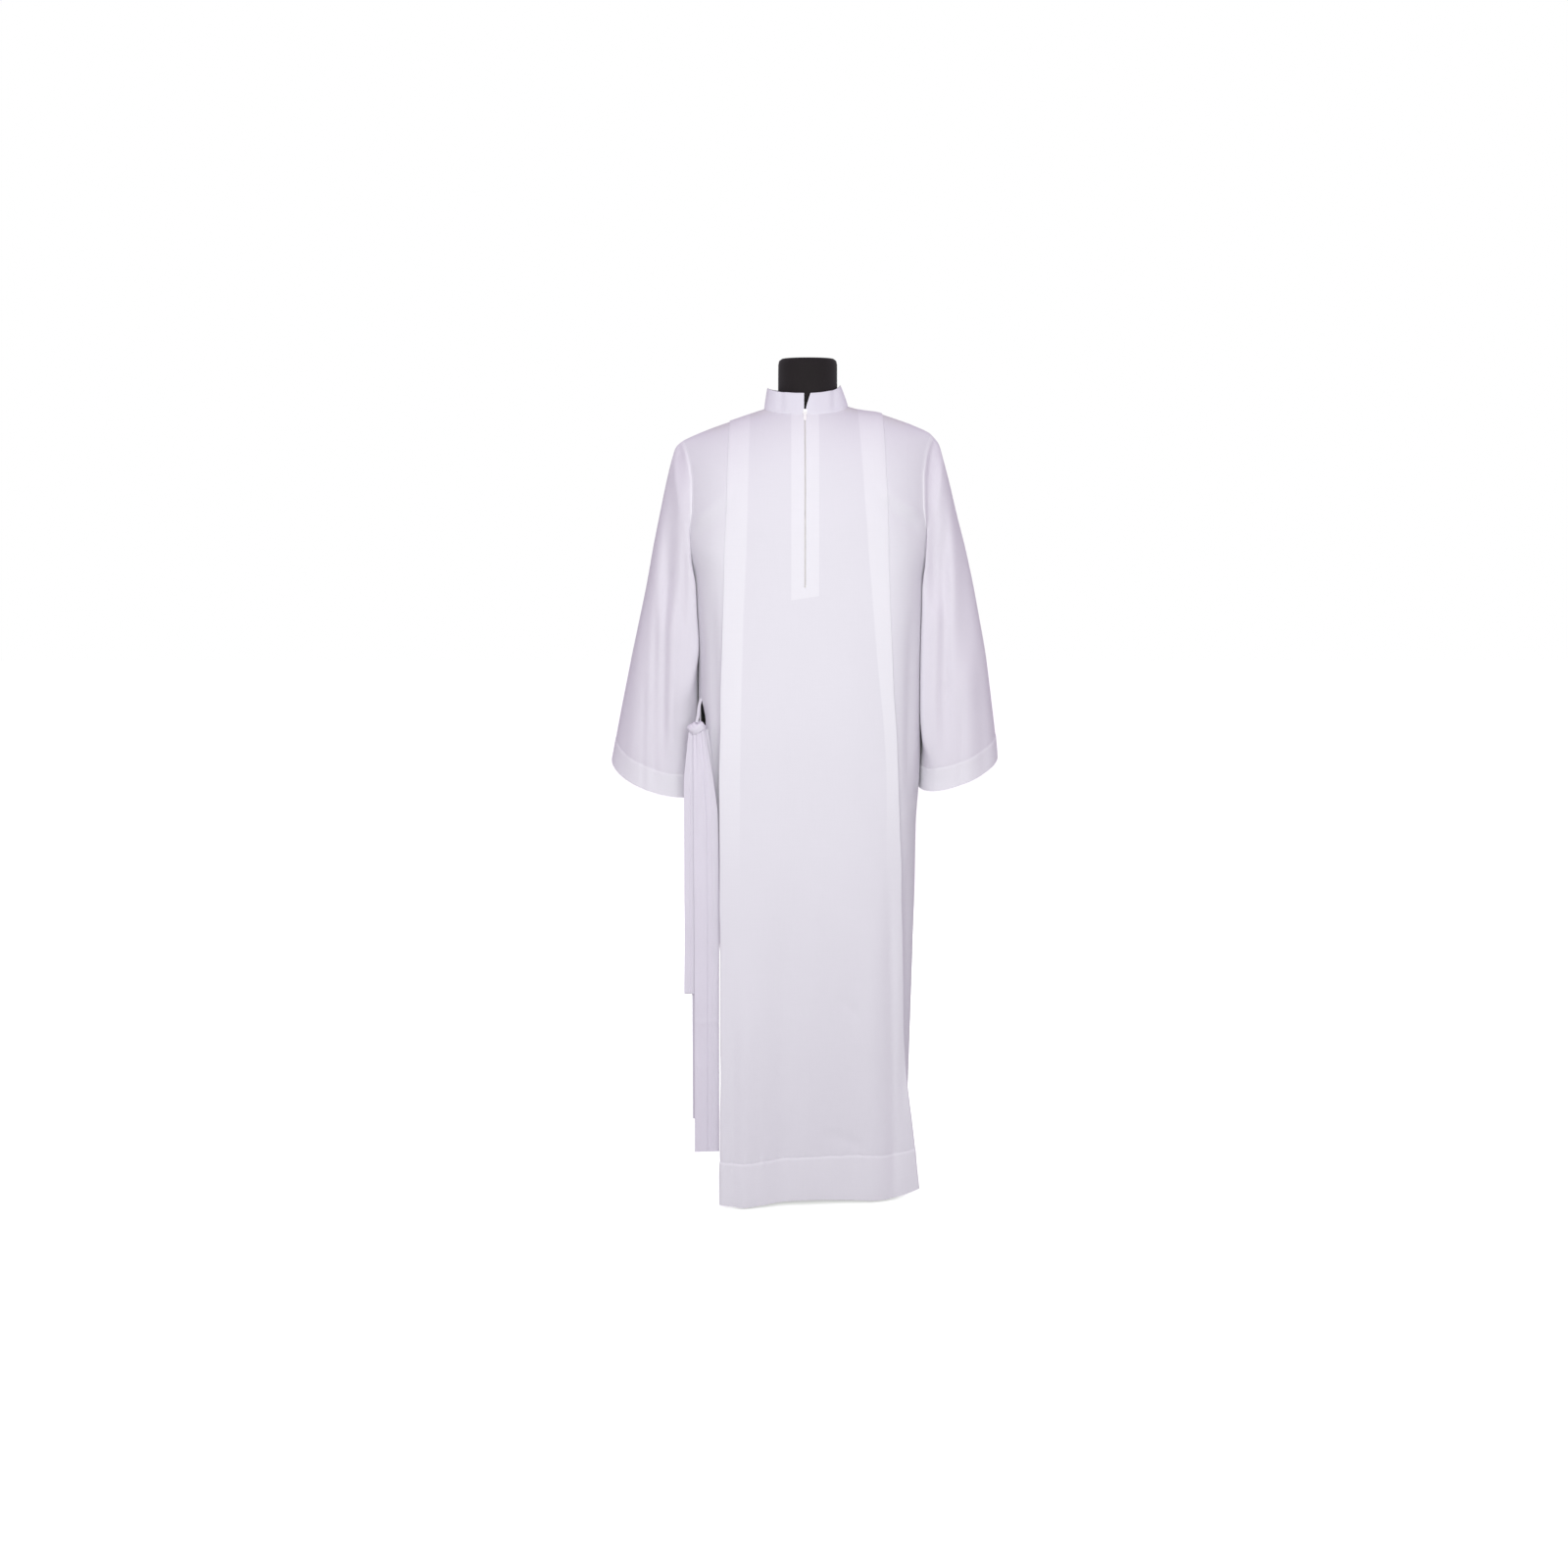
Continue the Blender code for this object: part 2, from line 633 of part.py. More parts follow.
def sleeve(side, material):
    """A tube from the armhole to the cuff. Each ring runs from its top round the front."""
    climbs = (1.0,) + HIGH_ROWS[-2::-1] + (0.0,) + HIGH_ROWS[:-1]
    turns = [math.acos(2 * climb - 1) for climb in climbs]
    turns = [turn if place <= len(HIGH_ROWS) else 2 * math.pi - turn for place, turn in enumerate(turns)]
    first = []
    for place, (climb, turn) in enumerate(zip(climbs, turns)):
        body = FRONT_BODY if place <= len(HIGH_ROWS) else BACK_BODY
        x, y, z = body.place(side, HALF_COLUMNS[0], ARMPIT + climb)
        out = ARMHOLE_GAP_TOP + (ARMHOLE_GAP_PIT - ARMHOLE_GAP_TOP) * (1 - climb)
        first.append((x + side * out, y, z))
    rings = [np.array(first)]
    for place, share in enumerate(SLEEVE_ROWS["share"]):
        section = {name: column[place] for name, column in SLEEVE_ROWS.items()}
        outer_x, outer_z = section[side_name(side) + "_out"], section[side_name(side) + "_height"]
        slant, inner_z = section[side_name(side) + "_slant"], section["inner_height"]
        inner_x = read(SIDES, side_name(side) + "_width", inner_z) + SLEEVE_CLEAR
        ring = []
        for turn in turns:
            ahead, depth = math.cos(turn), math.sin(turn)
            x = side * ((outer_x + inner_x) / 2 + (outer_x - inner_x) / 2 * ahead)
            power = 2 + max(1 - share / PIT_SHARE, 0) if ahead < 0 else 2
            swell = max(1 - abs(ahead) ** power, 0) ** (1 / power)
            reach = section["front"] if depth > 0 else section["back"]
            y = section["centre"] - math.copysign(swell, depth) * reach
            z = (outer_z + inner_z) / 2 + (outer_z - inner_z) / 2 * ahead
            z -= slant * depth if depth > 0 else slant * depth * BACK_SLANT
            ring.append((x, y, z))
        rings.append(np.array(ring))
    head = (rings[0] + rings[1]) / 2
    bulge = np.array([max(math.cos(turn), 0) for turn in turns]) * HEAD_BULGE
    head[:, 0] += side * bulge
    head[:, 2] += bulge
    rings.insert(1, head)
    middle = np.array(rings)
    normal = grid_normals(middle, closed=True)
    outwards = middle - middle.mean(axis=1, keepdims=True)
    normal *= np.sign((outwards * normal).sum())
    outer, inner = skins(middle, normal, CLOTH)
    return add_object("sleeve_" + side_name(side), wall_mesh("sleeve", outer, inner, closed=True), material)


def on_front(row, x):
    """A point of the front panel and its normal, at x in one of its rows."""
    columns, middle, normal = FRONT_BODY.grid
    run = [place for place, (side, column) in enumerate(columns) if column[0] in ("panel", "slit")]
    across = middle[row, run, 0]
    point = np.array([np.interp(x, across, middle[row, run, axis]) for axis in range(3)])
    direction = np.array([np.interp(x, across, normal[row, run, axis]) for axis in range(3)])
    return point, unit(direction)


def neck_ring():
    """The neckline's points without its centre front, from the right round the back to the left."""
    ring = []
    for body in (FRONT_BODY, BACK_BODY, FRONT_BODY):
        columns, middle, normal = body.grid
        picked = [
            middle[-1, place]
            for place, (side, column) in enumerate(columns)
            if column[0] == "panel" and column[1] <= NECK_SHARE
        ]
        half = len(picked) // 2
        if body is BACK_BODY:
            back_centre = (picked[half - 1] + picked[half]) / 2
            back_centre[2] = NECK_BACK
            ring += picked[1:half] + [back_centre] + picked[half:-1]
        else:
            ring += picked[half:] if not ring else picked[:half]
    return ring


def collar(material):
    """The stand collar: the neckline, lifted and drawn in, open in a V at the front."""
    ring = np.array(neck_ring())
    ring[:, 1] -= SEAM / 2 * np.sign(ring[:, 1])
    rows = []
    for climb in COLLAR_CLIMBS:
        shrink = 1 + (COLLAR_TOP_SHARE - 1) * climb
        shift = np.array(COLLAR_TOP_SHIFT) * climb
        ends = []
        for name in ("right_end", "left_end"):
            end = read(COLLAR_ENDS, name, climb, by="climb")
            base = (end - shift[0] - NECK_CENTRE[0]) / shrink + NECK_CENTRE[0]
            ends.append(on_front(len(ROWS) - 1, base)[0])
        row = np.array([ends[0], *ring, ends[1]])
        row[:, :2] = NECK_CENTRE + (row[:, :2] - NECK_CENTRE) * shrink + shift
        row[:, 2] += COLLAR_LIFT + COLLAR_HEIGHT * climb
        rows.append(row)
    middle = np.array(rows)
    outer, inner = skins(middle, grid_normals(middle), COLLAR_CLOTH)
    return add_object("collar", wall_mesh("collar", outer, inner), material)


def zip_strip(name, offsets, behind, thickness, rows, slit, material, trim=0.0):
    """A strip along the zip, made from the front panel's own points and set behind them."""
    found = [[on_front(row, ZIP_X + offset) for offset in offsets] for row in rows]
    point = np.array([[place for place, direction in line] for line in found])
    normal = np.array([[direction for place, direction in line] for line in found])
    point[0] += unit(point[1] - point[0]) * trim
    point[-1] += unit(point[-2] - point[-1]) * trim
    outer, inner = skins(point - normal * behind, normal, thickness)
    skip = {(row - rows[0], slit) for row in rows[:-1] if ROWS[row] >= ZIP_END} if slit is not None else ()
    return add_object(name, wall_mesh(name, outer, inner, skip=skip), material)


def box_mesh(name, low, high):
    corners = [(x, y, z) for x in (low[0], high[0]) for y in (low[1], high[1]) for z in (low[2], high[2])]
    faces = [(0, 1, 3, 2), (4, 6, 7, 5), (0, 4, 5, 1), (2, 3, 7, 6), (0, 2, 6, 4), (1, 5, 7, 3)]
    return mesh_from(name, corners, faces, smooth=False)


def prism_mesh(name, outline, start, end, hole=(), axis=0):
    """An outline of (across, along) points drawn out between two places on an axis, with one hole."""
    work = bmesh.new()
    for loop in filter(len, (outline, hole)):
        corners = [work.verts.new(np.insert(point, axis, start)) for point in loop]
        for place, corner in enumerate(corners):
            work.edges.new((corner, corners[(place + 1) % len(corners)]))
    bmesh.ops.triangle_fill(work, use_beauty=True, use_dissolve=False, edges=list(work.edges))
    drawn = bmesh.ops.extrude_face_region(work, geom=list(work.faces))
    step = np.insert((0.0, 0.0), axis, end - start)
    moved = [item for item in drawn["geom"] if isinstance(item, bmesh.types.BMVert)]
    bmesh.ops.translate(work, vec=step, verts=moved)
    bmesh.ops.recalc_face_normals(work, faces=work.faces)
    mesh = bpy.data.meshes.new(name)
    work.to_mesh(mesh)
    work.free()
    return mesh


def zip_slider(material):
    """The slider's body with the crown that the pull tab hangs in."""
    x, y, z = slider_place()
    item = add_object("zip_slider", box_mesh("zip_slider", *SLIDER_BOX), material)
    crown = add_object("zip_crown_shape", prism_mesh("zip_crown", CROWN_OUTLINE, -CROWN_HALF, CROWN_HALF), material)
    for part in (item, crown):
        part.location = (x, y, z)
    crown.hide_render = True
    crown.display_type = "WIRE"
    union = item.modifiers.new("crown", "BOOLEAN")
    union.operation = "UNION"
    union.object = crown
    return item


def slider_place():
    """Centre of the slider's back, just in front of the collar's lower edge."""
    (x, y, z), direction = on_front(len(ROWS) - 1, ZIP_X)
    return x, y - COLLAR_CLOTH / 2 - SLIDER_GAP, z + SLIDER_RISE


def zip_pull_tab(material):
    """A flat tab with an eye round the crown, hung on its top bar."""
    x, y, z = slider_place()
    tip = [
        (TAB_HALF * math.sin(step * math.pi / 8), -TAB_LENGTH + TAB_HALF - TAB_HALF * math.cos(step * math.pi / 8))
        for step in range(-4, 5)
    ]
    outline = [(-TAB_NECK, TAB_BAR), *tip, (TAB_NECK, TAB_BAR)]
    hole = [(-EYE_HALF, -TAB_BAR), (EYE_HALF, -TAB_BAR), (EYE_HALF, -EYE_END), (-EYE_HALF, -EYE_END)]
    mesh = prism_mesh("zip_pull_tab", outline, -TAB_THICK / 2, TAB_THICK / 2, hole=hole, axis=1)
    item = add_object("zip_pull_tab", mesh, material)
    item.location = (x, y - SLIDER_DEPTH - PIVOT_DEPTH, z)
    item.rotation_euler = (-TAB_TILT, 0, 0)
    return item


def ribbon(name, path, widths, material, crease=0.0, thickness=CLOTH):
    """A band of cloth along a path of (x, y, z), with a width and a soft crease down its middle."""
    across = (-0.5, -0.27, 0.0, 0.27, 0.5)
    middle = np.array(
        [
            [(x + width * share, y + crease * (0.5 - abs(share)) * 2, z) for share in across]
            for (x, y, z), width in zip(path, widths)
        ]
    )
    outer, inner = skins(middle, grid_normals(middle), thickness)
    return add_object(name, wall_mesh(name, outer, inner), material)


def sash_end(name, rows, depth, crease, material):
    """One end of the sash, hanging down from the knot through rows of height, centre and width."""
    path = [(centre, depth, height) for height, centre, width in rows]
    widths = [width for height, centre, width in rows]
    return ribbon(name, path, widths, material, crease)


def sash_bight(material):
    """The doubled stretch of the sash: down, round a soft fold and up again."""
    front, back = BIGHT_DEPTHS
    radius = (back - front) / 2
    down = [(centre, front, height) for height, centre, width in BIGHT_ROWS]
    widths = [width for height, centre, width in BIGHT_ROWS]
    low_centre, low_width = BIGHT_ROWS[-1][1:]
    fold = []
    for step in range(1, 6):
        turn = math.pi * step / 6
        height = BIGHT_ROWS[-1][0] - radius * math.sin(turn)
        fold.append((low_centre, (front + back) / 2 - radius * math.cos(turn), height))
    up = [(centre, back, height) for height, centre, width in reversed(BIGHT_ROWS)]
    path = down + fold + up
    return ribbon("sash_bight", path, widths + [low_width] * len(fold) + widths[::-1], material)


def sash_knot(material):
    """A soft flattened knot."""
    points, faces = [], []
    rings, sides = 9, 16
    for ring in range(1, rings):
        tilt = math.pi * ring / rings - math.pi / 2
        for step in range(sides):
            turn = 2 * math.pi * step / sides
            shape = [math.cos(tilt) * math.cos(turn), math.cos(tilt) * math.sin(turn), math.sin(tilt)]
            pull = sum(abs(value) ** KNOT_POWER for value in shape) ** (-1 / KNOT_POWER)
            points.append([centre + half * pull * value for centre, half, value in zip(KNOT, KNOT_HALF, shape)])
    for ring in range(rings - 2):
        for step in range(sides):
            low, high = ring * sides, (ring + 1) * sides
            following = (step + 1) % sides
            faces.append((low + step, low + following, high + following, high + step))
    faces.append(tuple(reversed(range(sides))))
    faces.append(tuple(range(len(points) - sides, len(points))))
    return add_object("sash_knot", mesh_from("sash_knot", points, faces), material)


def belt_loop(side, material):
    """A narrow strip that hangs from the top of a side slit."""
    columns, middle, normal = FRONT_BODY.grid
    place = 0 if side < 0 else len(columns) - 1
    row = ROWS.index(SLIT_TOP)
    start = middle[row, place] + normal[row, place] * (CLOTH + SEAM)
    end = np.array(LOOP_LEFT_END) if side < 0 else start + np.array(LOOP_RIGHT_FALL)
    across = unit(np.cross(normal[row, place], (0, 0, 1.0))) * LOOP_WIDTH / 2
    rows = []
    for step in range(LOOP_STEPS + 1):
        share = step / LOOP_STEPS
        point = start + (end - start) * share
        rows.append((point - across, point + across))
    line = np.array(rows)
    outer, inner = skins(line, grid_normals(line), CLOTH)
    return add_object("belt_loop_" + side_name(side), wall_mesh("belt_loop", outer, inner), material)


def form_torso(material):
    """The limbless torso with its neck, as one closed solid. Its shoulders lie just under the cloth."""
    seat = 2 * read(LAYERS, "spacing", SHOULDER_TIP) + CLOTH / 2 + FORM_CLEAR
    rows = list(FORM_ROWS)
    for height, depth in FORM_SHOULDER_ROWS:
        reach = HALF_SHOULDER - (height + seat - SHOULDER_TIP) / SHOULDER_SLOPE
        rows.append((height, math.sqrt(reach**2 - RIDGE_SOFTNESS**2), depth, depth))
    rows.sort()
    points, faces = [], []
    for height, half, front, back in rows:
        follow = float(np.interp(height, *FORM_FOLLOW))
        for step in range(FORM_SIDES):
            turn = 2 * math.pi * step / FORM_SIDES
            cosine, sine = math.cos(turn), math.sin(turn)
            pull = (abs(cosine) ** FORM_POWER + abs(sine) ** FORM_POWER) ** (-1 / FORM_POWER)
            x = half * pull * cosine
            z = height + follow * side_lift(x)
            y = (back if sine > 0 else front) * pull * sine
            if ARMPIT < height < NECK_FRONT:
                side = -1 if x < 0 else 1
                most = body_depth(BACK if sine > 0 else FRONT, side, x, z, z, seat)
                most *= rounding(ridge(x) - seat - z)
                y = math.copysign(min(abs(y), most), y)
            points.append((x, y, z))
    for ring in range(len(rows) - 1):
        for step in range(FORM_SIDES):
            low, high = ring * FORM_SIDES, (ring + 1) * FORM_SIDES
            following = (step + 1) % FORM_SIDES
            faces.append((low + step, low + following, high + following, high + step))
    faces.append(tuple(reversed(range(FORM_SIDES))))
    faces.append(tuple(range(len(points) - FORM_SIDES, len(points))))
    return add_object("form_torso", mesh_from("form_torso", points, faces), material)


def turned(name, profile, steps, material):
    """A solid of revolution from (radius, height) points that run from the axis round to the axis."""
    points, faces = [(0, 0, profile[0][1])], []
    ring_rows = profile[1:-1]
    for radius, height in ring_rows:
        for step in range(steps):
            turn = 2 * math.pi * step / steps
            points.append((radius * math.cos(turn), radius * math.sin(turn), height))
    points.append((0, 0, profile[-1][1]))
    last = len(points) - 1
    for step in range(steps):
        following = (step + 1) % steps
        faces.append((0, 1 + following, 1 + step))
        for ring in range(len(ring_rows) - 1):
            low, high = 1 + ring * steps, 1 + (ring + 1) * steps
            faces.append((low + step, low + following, high + following, high + step))
        top = 1 + (len(ring_rows) - 1) * steps
        faces.append((top + step, top + following, last))
    return add_object(name, mesh_from(name, points, faces), material)


def main():
    clear_scene()
    for body in (FRONT_BODY, BACK_BODY):
        body.grid = panel_grid(body)
    cloth = plain_material("alb_cloth", (0.80, 0.77, 0.84), 0.85)
    sash_cloth = plain_material("sash_cloth", (0.70, 0.66, 0.76), 0.85)
    black = plain_material("form_cloth", (0.022, 0.017, 0.018), 0.8)
    metal = plain_material("zip_metal", (0.75, 0.75, 0.76), 0.35, 1.0)
    nylon = plain_material("zip_nylon", (0.82, 0.80, 0.84), 0.5)
    steel = plain_material("stand_metal", (0.05, 0.05, 0.052), 0.4, 0.6)

    pleated_panel("front", FRONT_BODY, cloth)
    pleated_panel("back", BACK_BODY, cloth)
    sleeve(-1, cloth)
    sleeve(1, cloth)
    collar(cloth)

    facing_columns = (-FACING_HALF, -TAPE_HALF, -SLIT_HALF, SLIT_HALF, TAPE_HALF, FACING_HALF)
    facing_rows = range(ROWS.index(FACING_END), len(ROWS))
    chain_rows = range(ROWS.index(ZIP_END), len(ROWS))
    zip_strip("zip_facing", facing_columns, FACING_BEHIND, CLOTH, facing_rows, 2, cloth)
    tape_columns = (-TAPE_HALF, 0.0, TAPE_HALF)
    chain_columns = (-CHAIN_HALF, CHAIN_HALF)
    zip_strip("zip_tape", tape_columns, TAPE_BEHIND, TAPE_CLOTH, facing_rows, None, nylon, TAPE_TRIM)
    zip_strip("zip_chain", chain_columns, CHAIN_BEHIND, CHAIN_THICK, chain_rows, None, nylon, CHAIN_TRIM)
    zip_slider(metal)
    zip_pull_tab(metal)

    belt_loop(-1, cloth)
    belt_loop(1, cloth)
    sash_knot(sash_cloth)
    sash_bight(sash_cloth)
    sash_end("sash_end_front", END_FRONT_ROWS, END_FRONT_DEPTH, 0.002, sash_cloth)
    sash_end("sash_end_back", END_BACK_ROWS, END_BACK_DEPTH, 0.0, sash_cloth)

    form_torso(black)
    turned("form_plate", PLATE_PROFILE, 24, steel)
    turned("stand_pole", POLE_PROFILE, 24, steel)
    turned("stand_base", BASE_PROFILE, 40, steel)


main()
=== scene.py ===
"""The looks of an alb on its dress form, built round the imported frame: thin pleated cloth, set-in
sleeves, stand collar, zip, knotted cloth sash, the form with its stand, and a plain pale studio.

Metres, in the frame's own axes: +Z up, the front faces -Y and the floor is z = 0. Left and right
are as seen from the front. Tables are in thousandths: millimetres, or thousandths of a share."""

import math

import bpy
import numpy as np
from bpy.props import FloatProperty, FloatVectorProperty, PointerProperty
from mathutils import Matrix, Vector
from mathutils.bvhtree import BVHTree


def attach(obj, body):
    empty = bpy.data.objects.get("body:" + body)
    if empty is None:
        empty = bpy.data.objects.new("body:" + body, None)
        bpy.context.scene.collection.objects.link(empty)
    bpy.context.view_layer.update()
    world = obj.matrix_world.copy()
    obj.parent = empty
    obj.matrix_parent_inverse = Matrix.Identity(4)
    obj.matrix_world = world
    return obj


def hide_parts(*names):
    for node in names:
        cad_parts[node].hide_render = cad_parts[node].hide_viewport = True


bl_info = {
    "name": "Alb on a dress form",
    "version": (1, 0, 0),
    "blender": (4, 5, 0),
    "location": "3D View > Sidebar > Alb",
    "description": "Dresses the frame of an alb with its cloth, zip, sash, form and studio",
    "category": "Object",
}

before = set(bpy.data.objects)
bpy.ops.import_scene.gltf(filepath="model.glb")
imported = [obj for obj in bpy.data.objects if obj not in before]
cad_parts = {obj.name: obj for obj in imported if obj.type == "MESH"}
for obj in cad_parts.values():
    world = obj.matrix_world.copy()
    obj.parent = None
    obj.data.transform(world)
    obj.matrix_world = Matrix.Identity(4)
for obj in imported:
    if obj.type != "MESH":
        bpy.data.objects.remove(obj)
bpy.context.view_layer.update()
GARMENT = "alb"

# Flat cuts: width and length of the cloth
COLLAR_FLAT = (0.42, 0.038)

# The wall of the frame's solids, half the gap at a seam, and the cloth tucked inside an armhole
CLOTH = 0.0012
SEAM = 0.0001
ALLOWANCE = 0.004

# How far inside a doubled layer a place is marked as lying where it is wholly inside or outside it
INSIDE = 0.02

# Hems: soft edge of the turned layer, its rise, the seam's groove (depth and width), and its
# puckers (depth, wave, seed and reach)
HEM_EDGE = 0.0012
HEM_RISE = 0.0003
HEM_GROOVE = (0.0005, 0.0022)
HEM_PUCKERS = ((0.0010, 0.017, 0.4, 0.010), (0.0009, 0.071, 2.4, 0.035))

# Shoulders: the line falls from the neck to the sleeve, a little lower on the left
HALF_SHOULDER = 0.2295
SHOULDER_TIP = 1.4245
SHOULDER_SLOPE = 0.357
SHOULDER_TILT = 0.019
RIDGE_SOFTNESS = 0.02
SHOULDER_DROP = 0.17
ARMPIT = 1.21

# Neckline
NECK_SHARE = 0.545
NECK_FRONT = 1.4635
NECK_BACK = 1.472

# Front zip. Each strip lies its own distance behind the front.
ZIP_X = -0.0055
ZIP_END = 1.147
SLIT_HALF = 0.0013
SLIT_ROLL = 0.0035
SLIT_ROLL_DEPTH = 0.00015
FACING_HALF = 0.025
FACING_LOW = 1.131
FACING_RISE = 0.15
FACING_BEHIND = 0.0015
FACING_CLOTH = 0.0009
TAPE_HALF = 0.014
TAPE_LOW = 1.137
TAPE_BEHIND = 0.0027
TAPE_CLOTH = 0.0007
COIL_LOW = 1.1545
COIL_BEHIND = 0.0002
COIL_PITCH = 0.0010
COIL_HALF = 0.00088
COIL_DEPTH = 0.00040
COIL_THREAD = 0.00030
ZIP_STITCH_X = 0.0062
ZIP_STITCH_LOW = 0.004
ZIP_STITCH_BEHIND = -0.00045

# Powers and widths of the rounded sides, and the side slits
SIDE_POWER = 2.2
SIDE_ROUND = 0.075
SLIT_TOP = 0.945
SLIT_BOTTOM = 0.795
RIGHT_SLIT_SHARE = 0.4
SIDE_ARC = 0.12
SIDE_HEM = 0.010
LEAN_POWER = 1.5
PLEAT_WANDER = 0.0008
PLEAT_WANDER_LENGTH = 0.21

# Opening of the left side slit: how far the front's edge is drawn in, and the heights between which
# it is
SLIT_DRAWN = 0.0050
SLIT_DRAWN_ROWS = (0.840, 0.900, 0.905, 0.945)

# Sleeves. Their inner half lies against the body, with room for the belt loop on the right.
SLEEVE_CLEAR = 0.0008
BACK_SLANT = 0.5
ARMHOLE_GAP = 0.0002
HEAD_BULGE = 0.003
HEAD_SHARE = 0.04
PIT_SHARE = 0.4
HUG_POWER = 2.6
HUG_CLEAR = 0.0014
HUG_SHARES = (0.15, 0.75)
HUG_HEIGHTS = {"left": (0.93, 1.03), "right": (0.79, 0.90)}
HOLLOW_SHARE = 0.45
LOOP_ROOM = 0.0045
LOOP_ROOM_DEPTH = 0.025
LOOP_ROOM_ROWS = (0.82, 0.86, 0.97, 1.01)

# Collar, its slow sway (depth, wave and seed), and its soft upright folds: place across, depth and
# width
COLLAR_HEIGHT = 0.038
COLLAR_LIFT = 0.0003
COLLAR_CLOTH = 0.0023
COLLAR_TOP_SHARE = 0.87
COLLAR_TOP_SHIFT = (-0.004, 0.003)
COLLAR_TUCK = 0.035
COLLAR_STEPS = 26
COLLAR_SWAY = (0.0006, 0.075, 0.7)
NECK_CENTRE = (-0.003, -0.006)
COLLAR_FOLDS = (
    (-0.0485, -0.0022, 0.0055),
    (-0.0370, 0.0008, 0.0060),
    (0.0480, -0.0022, 0.0055),
    (0.0370, 0.0008, 0.0060),
)

# How far up the collar's rows lie, and the share of its thickness near its two edges
COLLAR_ROWS = (
    -0.08, -0.01, 0.01, 0.03, 0.06, 0.13, 0.22, 0.33, 0.45, 0.57, 0.69, 0.8, 0.88, 0.94, 0.975,
    0.992, 1,
)
COLLAR_EDGES = (
    (-0.08, -0.01, 0.01, 0.03, 0.06, 0.94, 0.975, 0.992, 1),
    (0.3, 0.3, 0.6, 0.85, 1, 1, 0.9, 0.7, 0.4),
)

# Sash and belt loops
BIGHT_DEPTHS = (-0.1160, -0.1115)
BAND_CLOTH = 0.0017
BAND_COLUMNS = 41
KNOT = (-0.2025, -0.1140, 0.8980)
KNOT_HALF = (0.0190, 0.0125, 0.0090)
KNOT_POWER = 2.6
KNOT_CORE = 0.93
LOOP_WIDTH = 0.006
LOOP_CLOTH = 0.0014
LOOP_LEFT_END = (-0.2030, -0.1110, 0.9083)
LOOP_RIGHT_FALL = (0.0006, -0.001, -0.055)

# Dress form
FORM_POWER = 2.2
FORM_CLEAR = 0.0012
FORM_FOLLOW = ((1.33, 1.40, 1.478, 1.50), (0, 1, 1, 0))
FORM_SIDES = 108
FORM_STEP = 0.008

# Fineness of the cloth grids. A sleeve's spans: start and end as shares of its length, and rows.
SIDE_COLUMNS = 22
TURN_COLUMNS = 7
UNDER_COLUMNS = 7
BAND_STEPS = 8
PANEL_COLUMNS = 10
NECK_COLUMNS = 22
HIGH_STEPS = 61
SLEEVE_SPANS = ((0, 0.12, 22), (0.12, 0.90, 72), (0.905, 1, 28))

# Studio: each light's name, place, aim, size and share of the key light's power
LIGHTS = (
    ("key", (-0.03, -2.4, 1.42), (0, 0, 1.0), 1.4, 1.0),
    ("back", (0.3, 2.6, 1.4), (0, 0, 1.0), 1.6, 1.2),
    ("left", (-2.9, 1.1, 1.3), (0, 0, 0.9), 1.6, 0.28),
    ("right", (2.9, 1.1, 1.3), (0, 0, 0.9), 1.6, 0.28),
)
FLOOR_HALF = 14.0

# The floor and the surround: the floor's colour as light meets it, and what the camera sees
FLOOR_LIT = (0.36, 0.36, 0.36, 1)
FLOOR_SEEN = (0.90, 0.94, 0.88, 1)
SURROUND_SEEN = (1, 1, 1, 1)


class Table:
    """A short table with named columns, read along a soft curve that keeps within its rows."""

    def __init__(self, names, rows):
        self.names = names.split()
        self.columns = dict(zip(self.names, np.array(sorted(rows), float).T / 1000))

    def read(self, name, place):
        return soft_curve(self.columns[self.names[0]], self.columns[name], place)


def soft_curve(keys, values, place):
    """Values at places between keys, with no overshoot."""
    steps = np.diff(values) / np.diff(keys)
    slopes = np.concatenate([steps[:1], np.zeros(len(keys) - 2), steps[-1:]])
    product = steps[1:] * steps[:-1]
    same = product > 0
    slopes[1:-1][same] = 2 * product[same] / (steps[1:] + steps[:-1])[same]
    at = np.clip(place, keys[0], keys[-1])
    cell = np.clip(np.searchsorted(keys, at, side="right") - 1, 0, len(keys) - 2)
    span = keys[cell + 1] - keys[cell]
    share = (at - keys[cell]) / span
    rest = 1 - share
    start = values[cell] * (1 + 2 * share) * rest**2 + slopes[cell] * span * share * rest**2
    end = values[cell + 1] * share**2 * (3 - 2 * share) - slopes[cell + 1] * span * share**2 * rest
    return start + end


# How far the shoulder line swells out above its slope
SHOULDER_SWELL = Table("across left right", (
    (75, 0, 0), (88, 0.5, 0.6), (103, 1.2, 3.1), (136, 2.4, 8.6), (179, 3.4, 8.5), (202, 2.8, 7.2),
    (222, 1.6, 4.8), (232, 0, 0),
))

